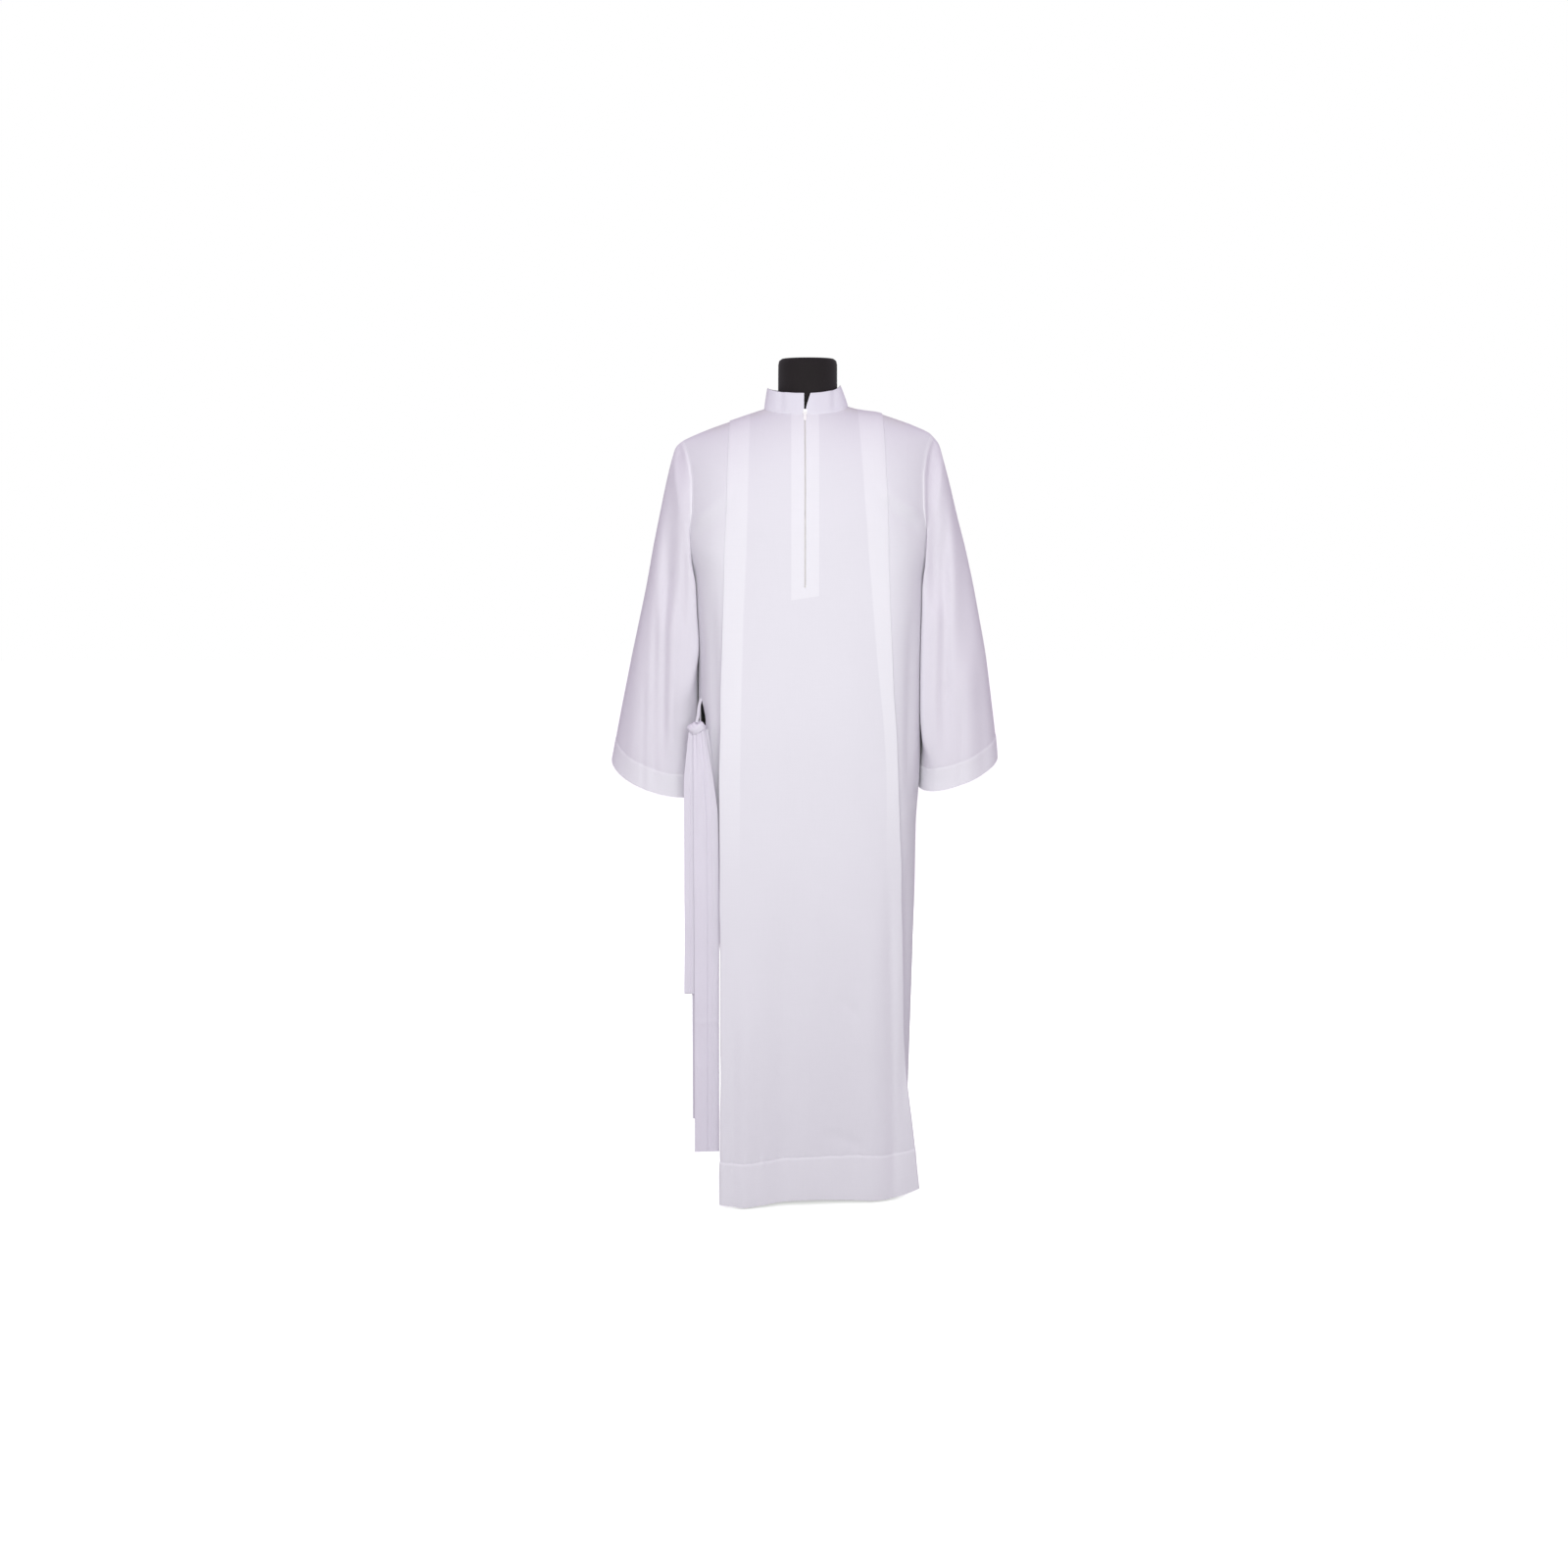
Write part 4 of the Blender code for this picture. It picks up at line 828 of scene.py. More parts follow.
def near_form(points, reach):
    """How close each point lies to the black form: 1 on it, 0 beyond its reach."""
    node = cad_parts["form_torso"].data
    corners = [vertex.co for vertex in node.vertices]
    tree = BVHTree.FromPolygons(corners, [tuple(face.vertices) for face in node.polygons])
    found = [tree.find_nearest(Vector(point), reach)[3] for point in points.reshape(-1, 3)]
    away = np.array([reach if distance is None else distance for distance in found])
    return 1 - soft_step(away.reshape(points.shape[:-1]), reach * 0.15, reach)


def marks(size, **given):
    """What the layered cloth's material reads at each point: how far inside a pleat, a hem or a
    seam's allowance it lies, and how close to the form."""
    outside = np.full(size, -INSIDE)
    return {"pleat": outside, "hem": outside, "seam": outside, "form": 0 * outside, **given}


class AlbClothSettings(bpy.types.PropertyGroup):
    """Cloth of the alb"""

    thickness: FloatProperty(
        name="Thickness", description="Of one layer", default=0.0007, unit="LENGTH"
    )
    hem_thickness: FloatProperty(
        name="Hem thickness", description="Where a hem is turned up", default=0.0016, unit="LENGTH"
    )
    hem_band: FloatProperty(
        name="Hem", description="Height of the turned hem", default=0.083, unit="LENGTH"
    )
    cuff_band: FloatProperty(
        name="Cuff hem", description="Depth of a sleeve's turned hem", default=0.043, unit="LENGTH"
    )
    threads: FloatProperty(
        name="Threads", description="Threads in a metre of cloth", default=1900.0
    )
    single: FloatVectorProperty(
        name="One layer", description="Colour of one layer",
        default=(0.800, 0.786, 0.832), subtype="COLOR",
    )
    doubled: FloatVectorProperty(
        name="Doubled", description="Colour of pleats, facing and hems",
        default=(0.858, 0.848, 0.886), subtype="COLOR",
    )
    # The sleeves take the one layer's colour made darker and bluer: painted shade, for sleeves that
    # turn away from the light.
    sleeve: FloatVectorProperty(
        name="Sleeve", description="Colour of a sleeve's one layer, darker and bluer as painted shade",
        default=(0.775, 0.744, 0.808), subtype="COLOR",
    )
    collar: FloatVectorProperty(
        name="Collar", description="Colour of the stiffened collar",
        default=(0.812, 0.796, 0.860), subtype="COLOR",
    )
    over_form: FloatVectorProperty(
        name="Over the form", description="Colour where the form shows through",
        default=(0.790, 0.782, 0.780), subtype="COLOR",
    )


class AlbTrimSettings(bpy.types.PropertyGroup):
    """Sash, thread and zip"""

    sash: FloatVectorProperty(
        name="Sash", description="Colour of the sash", default=(0.77, 0.735, 0.815), subtype="COLOR"
    )
    thread: FloatVectorProperty(
        name="Thread", description="Colour of the sewing thread",
        default=(0.86, 0.84, 0.88), subtype="COLOR",
    )
    coil: FloatVectorProperty(
        name="Zip coil", description="Colour of the nylon coil",
        default=(0.93, 0.905, 0.88), subtype="COLOR",
    )
    metal: FloatVectorProperty(
        name="Slider", description="Colour of the slider and its tab",
        default=(0.88, 0.86, 0.85), subtype="COLOR",
    )
    stitch: FloatProperty(
        name="Stitch", description="Length of a stitch with its gap", default=0.0030, unit="LENGTH"
    )


class AlbFormSettings(bpy.types.PropertyGroup):
    """Dress form and stand"""

    cover: FloatVectorProperty(
        name="Cover", description="Colour of the jersey cover",
        default=(0.013, 0.010, 0.0105), subtype="COLOR",
    )
    steel: FloatVectorProperty(
        name="Steel", description="Colour of the stand's coating",
        default=(0.03, 0.03, 0.032), subtype="COLOR",
    )


class AlbStageSettings(bpy.types.PropertyGroup):
    """Floor, light and camera"""

    camera_place: FloatVectorProperty(
        name="Camera", description="Where the camera stands",
        default=(-0.0435, -3.7, 1.28), subtype="XYZ",
    )
    pitch: FloatProperty(
        name="Pitch", description="How far the camera looks down",
        default=math.radians(7.7), subtype="ANGLE",
    )
    lens: FloatProperty(name="Lens", description="Focal length in millimetres", default=45.4)
    surround: FloatProperty(name="Surround", description="Strength of the even light", default=0.59)
    surround_colour: FloatVectorProperty(
        name="Surround colour", description="Colour of the even light",
        default=(0.93, 0.79, 1.0), subtype="COLOR",
    )
    key: FloatProperty(
        name="Key light", description="Power of the front light", default=37.0, unit="POWER"
    )
    key_colour: FloatVectorProperty(
        name="Key colour", description="Colour of the front light",
        default=(0.935, 1.0, 0.92), subtype="COLOR",
    )


def alb():
    return bpy.context.scene.alb_cloth


def trim():
    return bpy.context.scene.alb_trim


class Nodes:
    """Adds shader nodes to a tree, with their settings and what feeds their inputs."""

    def __init__(self, tree):
        self.tree = tree

    def feed(self, node, inputs):
        for name, value in inputs.items():
            if isinstance(value, bpy.types.NodeSocket):
                self.tree.links.new(value, node.inputs[name])
            else:
                node.inputs[name].default_value = value
        return node

    def add(self, kind, inputs=None, **settings):
        made = self.tree.nodes.new("ShaderNode" + kind)
        for name, value in settings.items():
            setattr(made, name, value)
        return self.feed(made, inputs or {})

    def maths(self, operation, *values):
        return self.add("Math", dict(enumerate(values)), operation=operation).outputs[0]

    def times(self, *values):
        return self.maths("MULTIPLY", *values)

    def line(self, value, slope, start):
        return self.maths("MULTIPLY_ADD", value, slope, start)

    def most(self, *values):
        return self.maths("MAXIMUM", *values)

    def mix(self, factor, first, second):
        return self.add("Mix", {0: factor, 6: first, 7: second}, data_type="RGBA").outputs[2]

    def ramp(self, value, low, high):
        """A soft step from 0 at low to 1 at high."""
        inputs = {"Value": value, "From Min": low, "From Max": high}
        return self.add("MapRange", inputs, interpolation_type="SMOOTHSTEP").outputs[0]

    def mark(self, name):
        return self.add("Attribute", attribute_name=name).outputs["Fac"]

    def position(self):
        return self.add("NewGeometry").outputs["Position"]

    def noise(self, place, scale, detail):
        return self.add("TexNoise", {"Vector": place, "Scale": scale, "Detail": detail}).outputs[0]

    def shade(self, colour, amount):
        return self.add("VectorMath", {0: colour, "Scale": amount}, operation="SCALE").outputs[0]

    def dent(self, height, strength, distance):
        inputs = {"Height": height, "Strength": strength, "Distance": distance}
        return self.add("Bump", inputs).outputs[0]


def shared_group(name, inputs, outputs, fill):
    """A node group with named inputs and outputs, filled once and then shared."""
    if name not in bpy.data.node_groups:
        tree = bpy.data.node_groups.new(name, "ShaderNodeTree")
        for direction, sockets in (("INPUT", inputs), ("OUTPUT", outputs)):
            for socket, kind in sockets.items():
                tree.interface.new_socket(socket, in_out=direction, socket_type="NodeSocket" + kind)
        nodes = Nodes(tree)
        given, end = tree.nodes.new("NodeGroupInput").outputs, tree.nodes.new("NodeGroupOutput")
        nodes.feed(end, fill(nodes, given))
    return bpy.data.node_groups[name]


def weave(nodes, given):
    """Plain woven threads on a cloth's flat places: their height and their uneven tone."""
    flat = nodes.add("SeparateXYZ", {0: given["Place"]})
    counts = [nodes.times(flat.outputs[axis], given["Threads"]) for axis in ("X", "Y")]
    waves = [nodes.maths("SINE", nodes.times(count, math.pi)) for count in counts]
    waves = [nodes.maths("ABSOLUTE", wave) for wave in waves]
    cells = [nodes.maths("FLOOR", count) for count in counts]
    odd = nodes.maths("PINGPONG", nodes.maths("ADD", *cells), 1.0)
    warp = nodes.times(waves[0], odd)
    weft = nodes.times(waves[1], nodes.maths("SUBTRACT", 1.0, odd))
    slubs = []
    for scale in ((900, 18, 1), (18, 900, 1)):
        place = nodes.add("Mapping", {"Vector": given["Place"], "Scale": scale}).outputs[0]
        slubs.append(nodes.noise(place, 1.0, 1.0))
    slub = nodes.maths("SUBTRACT", nodes.maths("ADD", *slubs), 1.0)
    height = nodes.maths("ADD", nodes.maths("ADD", warp, weft), nodes.times(slub, given["Slubs"]))
    return {"Height": height, "Tone": nodes.line(slub, given["Slubs"], 1.0)}


def layers(nodes, given):
    """Tone of thin white cloth: whiter where it lies doubled, greyer over the black form."""
    edge = 0.0005
    position = nodes.position()
    place = nodes.add("SeparateXYZ", {0: position}).outputs
    pleat = nodes.ramp(nodes.mark("pleat"), -3 * edge, 5 * edge)
    pleat = nodes.times(pleat, nodes.ramp(place["Z"], 0.55, 0.95))
    across = nodes.maths("SUBTRACT", place["X"], ZIP_X)
    low = nodes.line(across, FACING_RISE, FACING_LOW + FACING_HALF * FACING_RISE)
    inside = nodes.maths("SUBTRACT", FACING_HALF, nodes.maths("ABSOLUTE", across))
    inside = nodes.maths("MINIMUM", inside, nodes.maths("SUBTRACT", place["Z"], low))
    facing = nodes.times(nodes.ramp(inside, -edge, edge), nodes.mark("facing"))
    hem = nodes.times(nodes.ramp(nodes.mark("hem"), -edge, edge), 0.55)
    seam = nodes.times(nodes.ramp(nodes.mark("seam"), -2 * edge, 2 * edge), 0.7)
    doubled = nodes.most(nodes.most(pleat, facing), nodes.most(hem, seam))
    form = nodes.times(nodes.mark("form"), nodes.line(doubled, -0.75, 1.0))
    colour = nodes.mix(doubled, given["Single"], given["Doubled"])
    colour = nodes.mix(form, colour, given["Over form"])
    drift = nodes.line(nodes.noise(position, 5.0, 3.0), 0.04, 0.98)
    return {"Color": nodes.shade(colour, nodes.times(drift, given["Tone"])), "Layers": doubled}


def weave_group():
    inputs = {"Place": "Vector", "Threads": "Float", "Slubs": "Float"}
    return shared_group("woven threads", inputs, {"Height": "Float", "Tone": "Float"}, weave)


def layers_group():
    inputs = {"Single": "Color", "Doubled": "Color", "Over form": "Color", "Tone": "Float"}
    return shared_group("layered cloth", inputs, {"Color": "Color", "Layers": "Float"}, layers)


def start_material(name):
    material = bpy.data.materials.new(name)
    material.use_nodes = True
    return material, Nodes(material.node_tree), material.node_tree.nodes["Principled BSDF"]


def cloth_material(name, colour, layered=False, threads=None, bump=0.22, sheen=0.08):
    """Matte woven cloth with a fine bump and a soft sheen."""
    if name in bpy.data.materials:
        return bpy.data.materials[name]
    material, nodes, shader = start_material(name)
    place = nodes.add("UVMap", uv_map="cloth").outputs[0]
    inputs = {"Place": place, "Threads": threads or alb().threads, "Slubs": 0.025}
    woven = nodes.add("Group", inputs, node_tree=weave_group()).outputs
    if layered:
        colours = {"Single": colour, "Doubled": alb().doubled, "Over form": alb().over_form}
        inputs = {key: (*value, 1) for key, value in colours.items()}
        tone = nodes.add("Group", {**inputs, "Tone": woven["Tone"]}, node_tree=layers_group())
        base = tone.outputs["Color"]
    else:
        drift = nodes.line(nodes.noise(nodes.position(), 9.0, 3.0), 0.06, 0.97)
        base = nodes.shade(colour, nodes.times(drift, woven["Tone"]))
    nodes.feed(shader, {
        "Base Color": base,
        "Roughness": nodes.line(woven["Height"], 0.08, 0.78),
        "Normal": nodes.dent(woven["Height"], bump, 0.0003),
        "Sheen Weight": sheen,
        "Sheen Roughness": 0.4,
        "Specular IOR Level": 0.25,
    })
    return material


def alb_cloth():
    return cloth_material("woven alb cloth", alb().single, True)


def sash_cloth():
    return cloth_material("woven sash cloth", trim().sash, threads=1700, bump=0.25, sheen=0.1)


def grain_material(name, colour, roughness, metallic, grain, depth, wear=0.0):
    """Moulded, coated or cast surface with a fine grain, and lighter where a little worn."""
    if name in bpy.data.materials:
        return bpy.data.materials[name]
    material, nodes, shader = start_material(name)
    geometry = nodes.add("NewGeometry").outputs
    fine = nodes.noise(geometry["Position"], grain, 3.0)
    wide = nodes.noise(geometry["Position"], grain / 30, 2.0)
    edge = nodes.ramp(geometry["Pointiness"], 0.52, 0.60)
    nodes.feed(shader, {
        "Base Color": nodes.shade(colour, nodes.line(edge, wear, nodes.line(wide, 0.14, 0.93))),
        "Roughness": nodes.line(fine, 0.16, roughness - 0.08),
        "Normal": nodes.dent(fine, depth, 0.0002),
        "Metallic": metallic,
    })
    return material


def jersey_material(colour):
    """Black jersey: fine vertical ribs of knit with lint and a soft bloom."""
    material, nodes, shader = start_material("form jersey")
    place = nodes.position()
    ribs = nodes.add("Mapping", {"Vector": place, "Scale": (1400, 1400, 260)}).outputs[0]
    knit = nodes.noise(ribs, 1.0, 2.0)
    lint = nodes.ramp(nodes.noise(place, 420.0, 2.0), 0.70, 0.78)
    lift = nodes.line(lint, 1.4, nodes.line(nodes.noise(place, 14.0, 4.0), 0.7, 0.65))
    nodes.feed(shader, {
        "Base Color": nodes.shade(colour, lift),
        "Roughness": nodes.line(knit, 0.15, 0.75),
        "Normal": nodes.dent(knit, 0.5, 0.0004),
        "Sheen Weight": 0.05,
        "Sheen Roughness": 0.5,
        "Specular IOR Level": 0.3,
    })
    return material


def hem_shift(rows, x):
    """How far above the hem's seam each row lies. The seam wanders a little."""
    return rows - (alb().hem_band + 0.004 * bell(x - 0.1, 0.06) + 0.0008 * ripple(x, 0.043, 1.3))


def hem_layer(above):
    """How far each place is inside a turned hem, its groove and rise, and the cloth's thickness."""
    inside = 1 - soft_step(above, -HEM_EDGE, HEM_EDGE)
    depth, width = HEM_GROOVE
    thin, thick = alb().thickness, alb().hem_thickness
    return depth * bell(above, width), HEM_RISE * inside, thin + (thick - thin) * inside


def make_panel(name):
    """The front or the back as one thin cloth that folds over itself at each pleat."""
    body = BODIES[name].build()
    points, rows = body.points.copy(), body.rows[:, None]
    x = points[..., 0]
    above = hem_shift(rows, x)
    groove, rise, thickness = hem_layer(above)
    pucker = sum(
        depth * ripple(x, wave, seed) * bell(above, reach)
        for depth, wave, seed, reach in HEM_PUCKERS
    )
    normal = grid_normals(points)
    sign = np.sign((normal * points * (1, 1, 0)).sum(axis=-1, keepdims=True))
    points += normal * sign * (pucker + rise - groove * (rows < ARMPIT))[..., None]
    seam = 0.004 - body.open_edge * 0.10 * (rows > ARMPIT) - 1.0 * (rows <= ARMPIT)
    values = {
        "pleat": body.doubled,
        "hem": -above,
        "form": near_form(points, 0.015),
        "seam": np.maximum(seam, -INSIDE),
    }
    skip = None
    if name == "front":
        middle = points.shape[1] // 2 - 1
        skip = np.zeros((len(rows) - 1, points.shape[1] - 1), bool)
        skip[body.rows[:-1] >= ZIP_END, middle] = True
        values["facing"] = 1.0 * (body.open_edge >= 1)
    item = shell(name, points, thickness, alb_cloth(), skip=skip, values=values)


class AlbMakePanels(bpy.types.Operator):
    """Makes the pleated front and back"""

    bl_idname = "alb.make_panels"
    bl_label = "Front and back"

    def execute(self, context):
        make_panel("front")
        make_panel("back")
        return {"FINISHED"}


def sleeve_ring(side, row, ahead, deep):
    """One ring of a sleeve from its top round the front, at one row of its table."""
    name = side_name(side)
    outer_x, outer_z = row[name + "_out"], row[name + "_height"]
    inner_z, slant = row["inner_height"], row[name + "_slant"]
    inner_x = SIDES.read(name + "_width", inner_z) + SLEEVE_CLEAR
    x = side * ((outer_x + inner_x) / 2 + (outer_x - inner_x) / 2 * ahead)
    power = np.where(ahead < 0, 2 + max(1 - row["share"] / PIT_SHARE, 0), 2)
    power = np.where((ahead < 0) & (deep > 0), np.maximum(power, HUG_POWER), power)
    swell = np.maximum(1 - abs(ahead) ** power, 0) ** (1 / power)
    y = row["centre"] - np.sign(deep) * swell * np.where(deep > 0, row["front"], row["back"])
    z = (outer_z + inner_z) / 2 + (outer_z - inner_z) / 2 * ahead
    z = z - np.where(deep > 0, slant * deep, slant * deep * BACK_SLANT)
    hugging = soft_step(-ahead, *HUG_SHARES) * soft_step(z, *HUG_HEIGHTS[name])
    x = x + side * np.minimum(side_edge(side, y, z) + HUG_CLEAR - abs(x), 0) * hugging
    if side > 0:
        room = soft_step(z, *LOOP_ROOM_ROWS[:2]) * (1 - soft_step(z, *LOOP_ROOM_ROWS[2:]))
        x = x + LOOP_ROOM * room * bell(y, LOOP_ROOM_DEPTH) * np.maximum(-ahead, 0)
    return np.stack([x, y, z], axis=1)


def sleeve_rings(side, turns, first):
    """Rings of a sleeve from the armhole to the cuff, and the share of its length at each."""
    ahead, deep = np.cos(turns), np.sin(turns)
    columns = SLEEVE_ROWS.columns
    rows = [dict(zip(columns, row)) for row in zip(*columns.values())]
    rings = [first, *(sleeve_ring(side, row, ahead, deep) for row in rows)]
    head = (rings[0] + rings[1]) / 2
    bulge = np.maximum(ahead, 0) * HEAD_BULGE
    head[:, 0] += side * bulge
    head[:, 2] += bulge
    rings.insert(1, head)
    return np.array(rings), np.array([0.0, HEAD_SHARE, *columns["share"]])


def sleeve_folds(name, points, normal, from_head):
    """How far forwards the folds move each point, kept within the sleeve's hollow."""
    folded = np.zeros(points.shape[:2])
    for face, way in (("front", -1), ("back", 1)):
        seen = soft_step(normal[..., 1] * way, 0.02, 0.40)
        folded += way * folds_at(f"sleeve_{name}_{face}", points[..., 0], points[..., 2]) * seen
    folded *= soft_step(from_head, 0.0005, 0.016)
    depth = points[..., 1]
    room = HOLLOW_SHARE * abs(depth - depth.mean(axis=1, keepdims=True)) + 1e-6
    return room * np.tanh(folded / room)


def make_sleeve(side):
    """A wide set-in sleeve with a turned cuff hem."""
    name = side_name(side)
    front, back = (BODIES[half].build() for half in ("front", "back"))
    first = np.concatenate([front.armhole(side)[::-1], back.armhole(side)[1:-1]])
    first = first + np.array((side * ARMHOLE_GAP, 0, 0))
    turns = np.arccos(2 * front.high - 1)
    turns = np.concatenate([turns[::-1], 2 * math.pi - turns[1:-1]])
    rings, shares = sleeve_rings(side, turns, first)
    head_rows, middle_rows, cuff_rows = (np.linspace(*span) for span in SLEEVE_SPANS)
    fine = np.concatenate([head_rows[:-1], middle_rows, cuff_rows])
    points = np.empty((len(fine), len(turns), 3))
    for column, axis in np.ndindex(len(turns), 3):
        points[:, column, axis] = soft_curve(shares, rings[:, column, axis], fine)
    normal = grid_normals(points, closed=True)
    normal *= np.sign(((points - points.mean(axis=1, keepdims=True)) * normal).sum())
    away = np.linalg.norm(np.diff(points, axis=0), axis=-1)
    none = np.zeros((1, len(turns)))
    to_cuff = np.concatenate([np.cumsum(away[::-1], axis=0)[::-1], none])
    from_head = np.concatenate([none, np.cumsum(away, axis=0)])
    folded = sleeve_folds(name, points, normal, from_head)
    around = turns / (2 * math.pi) + 0 * from_head
    push = 0.0005 * ripple(around, 0.055, 0.9 + side) * bell(from_head - 0.012, 0.014)
    push = push * soft_step(from_head, 0.001, 0.008) * np.maximum(np.cos(turns), 0)
    above = to_cuff - (alb().cuff_band + 0.0006 * ripple(turns / 10, 0.09, side))
    groove, rise, thickness = hem_layer(above)
    push += rise - groove
    push += 0.0004 * ripple(around, 0.045, 2.2) * bell(above, 0.009)
    points += normal * push[..., None]
    points[..., 1] += folded
    tucked = (points[0].mean(axis=0) - points[0]) * 0.05 - np.array((side * ALLOWANCE, 0, 0))
    points = np.concatenate([points[:1] + tucked, points])
    above, thickness, from_head, normal = (
        np.concatenate([grid[:1], grid]) for grid in (above, thickness, from_head, normal)
    )
    seam = np.maximum(0.005 - from_head, -INSIDE)
    values = marks(above.shape, hem=-above, seam=seam, form=near_form(points, 0.02))
    # The sleeves' cloth is the body's cloth in a darker, bluer colour: painted shade.
    woven = cloth_material("woven sleeve cloth", alb().sleeve, True)
    item = shell("sleeve_" + name, points, thickness, woven, closed=True, values=values)
    seam_line = abs(above).argmin(axis=0), np.arange(len(turns))
    cuff_line = np.concatenate([points[seam_line], normal[seam_line]], axis=1)
    item["cuff_line"] = cuff_line.ravel().tolist()


class AlbMakeSleeves(bpy.types.Operator):
    """Makes the two set-in sleeves"""

    bl_idname = "alb.make_sleeves"
    bl_label = "Sleeves"

    def execute(self, context):
        make_sleeve(-1)
        make_sleeve(1)
        return {"FINISHED"}


class AlbMakeCollar(bpy.types.Operator):
    """Makes the stand collar, open in a V at the front"""

    bl_idname = "alb.make_collar"
    bl_label = "Collar"

    def execute(self, context):
        climbs = np.array(COLLAR_ROWS)
        rows = np.array([self.ring(climb) for climb in climbs])
        columns = rows.shape[1]
        normal = grid_normals(rows)
        around = np.linspace(0, COLLAR_FLAT[0], columns)[None, :]
        rise = np.sin(math.pi * np.clip(climbs, 0, 1))[:, None]
        depth, wave, seed = COLLAR_SWAY
        sway = depth * ripple(around, wave, seed) * rise
        for place, size, wide in COLLAR_FOLDS:
            fold = size * bell(rows[..., 0] - place, wide) * (rows[..., 1] < 0)
            sway = sway + fold * soft_step(climbs, -0.01, 0.25)[:, None]
        outwards = np.sign((normal * (rows - rows.mean(axis=(0, 1)))).sum())
        rows += normal * outwards * sway[..., None]
        ends = np.minimum(np.arange(columns), np.arange(columns)[::-1])
        ends = np.interp(ends, (0, 1, 2), (0.45, 0.8, 1))[None, :]
        thickness = COLLAR_CLOTH * np.interp(climbs, *COLLAR_EDGES)[:, None] * ends
        cloth = cloth_material("woven collar cloth", alb().collar)
        item = shell("collar", rows, thickness, cloth)
        return {"FINISHED"}

    def ring(self, climb):
        """The collar's line at one height, from its right end round the back to its left end."""
        shrink = 1 + (COLLAR_TOP_SHARE - 1) * climb - COLLAR_TUCK * (climb < 0)
        shift = np.array(COLLAR_TOP_SHIFT) * climb
        turns = np.linspace(0, math.pi / 2, COLLAR_STEPS)
        parts = {}
        for side in (1, -1):
            end = COLLAR_ENDS.read(side_name(side) + "_end", climb)
            end = (end - shift[0] - NECK_CENTRE[0]) / shrink + NECK_CENTRE[0]
            half = side * BODIES["front"].neck_half(side)
            parts["front", side] = self.line("front", half, end + (half - end) * np.sin(turns))
            half = side * BODIES["back"].neck_half(side)
            parts["back", side] = self.line("back", half, half * np.cos(turns))
        behind = [parts["back", 1][1:], parts["back", -1][-2:0:-1]]
        line = np.concatenate([parts["front", 1], *behind, parts["front", -1][::-1]])
        line[:, :2] = NECK_CENTRE + (line[:, :2] - NECK_CENTRE) * shrink + shift
        line[:, 2] += COLLAR_LIFT + COLLAR_HEIGHT * climb
        return line

    def line(self, name, half, x):
        """Points of the neckline of one body at x."""
        body = BODIES[name]
        z = neckline(abs(half), x, body.neck_lowest)
        return np.stack([x, body.y_at(x, z), z], axis=1)


def zip_grid(offsets, low, behind, trim_top=0.0012, steps=90):
    """Points behind the front panel along the zip, from low up to the neckline."""
    front = BODIES["front"]
    x = ZIP_X + np.asarray(offsets, float)[None, :]
    top = neckline(front.neck_half(1), x, NECK_FRONT) - trim_top
    z = low + (top - low) * np.linspace(0, 1, steps)[:, None]
    points = np.stack(np.broadcast_arrays(x, front.y_at(x, z), z), axis=-1)
    normal = grid_normals(points)
    normal *= -np.sign(normal[..., 1:2])
    return points - normal * behind, normal


def zip_line(offset, low, behind, trim_top, steps=90):
    """One line along the zip, with its way out from the cloth."""
    grids = zip_grid((offset - 0.0001, offset + 0.0001), low, behind, trim_top, steps)
    return [grid.mean(axis=1) for grid in grids]


class AlbMakeZip(bpy.types.Operator):
    """Makes the zip's facing, tape and coil, and finishes its slider and pull tab"""

    bl_idname = "alb.make_zip"
    bl_label = "Zip"

    def execute(self, context):
        self.facing()
        self.tape()
        self.coil()
        metal = grain_material("white enamel", trim().metal, 0.30, 0.0, 900.0, 0.05, wear=0.1)
        finish_nodes(("zip_slider", "zip_pull_tab"), metal)
        for name, width in (("zip_slider", 0.0005), ("zip_pull_tab", 0.0002)):
            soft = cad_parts[name].modifiers.new("soft edges", "BEVEL")
            soft.width, soft.segments, soft.limit_method = width, 3, "ANGLE"
        return {"FINISHED"}

    def facing(self):
        half = np.linspace(SLIT_HALF, FACING_HALF, 9)
        offsets = np.concatenate([-half[::-1], half])
        low = FACING_LOW + (offsets + FACING_HALF) * FACING_RISE
        points, normal = zip_grid(offsets, low[None, :], FACING_BEHIND, 0.0006)
        skip = np.zeros((len(points) - 1, len(offsets) - 1), bool)
        skip[points[:-1, len(half), 2] >= ZIP_END, len(half) - 1] = True
        size = points.shape[:2]
        values = marks(size, pleat=np.full(size, INSIDE))
        item = shell(
            "zip_facing", points, FACING_CLOTH, alb_cloth(), normal=normal, skip=skip, values=values
        )

    def tape(self):
        points, normal = zip_grid(np.linspace(-TAPE_HALF, TAPE_HALF, 9), TAPE_LOW, TAPE_BEHIND)
        woven = cloth_material("woven zip tape", trim().coil, threads=1100, bump=0.5, sheen=0.1)
        item = shell("zip_tape", points, TAPE_CLOTH, woven, normal=normal)

    def coil(self):
        """A spiral of nylon along the middle of the tape."""
        steps, sides = 10, 5
        line, normal = zip_line(0, COIL_LOW, COIL_BEHIND, 0.0012, 400)
        along = run_along(line)
        turns = int(along[-1] / COIL_PITCH)
        place = np.linspace(0, turns * COIL_PITCH, turns * steps + 1)
        angle = (np.arange(len(place)) * 2 * math.pi / steps)[:, None]
        path = points_at(place, along, line) + np.array((1.0, 0, 0)) * COIL_HALF * np.cos(angle)
        path += points_at(place, along, normal) * COIL_DEPTH * np.sin(angle)
        nylon = grain_material("nylon coil", trim().coil, 0.42, 0.0, 1200.0, 0.1)
        mesh = tube("zip_coil", path, COIL_THREAD, circle(sides))
        add_piece("zip_coil", mesh, nylon, "zip_chain")


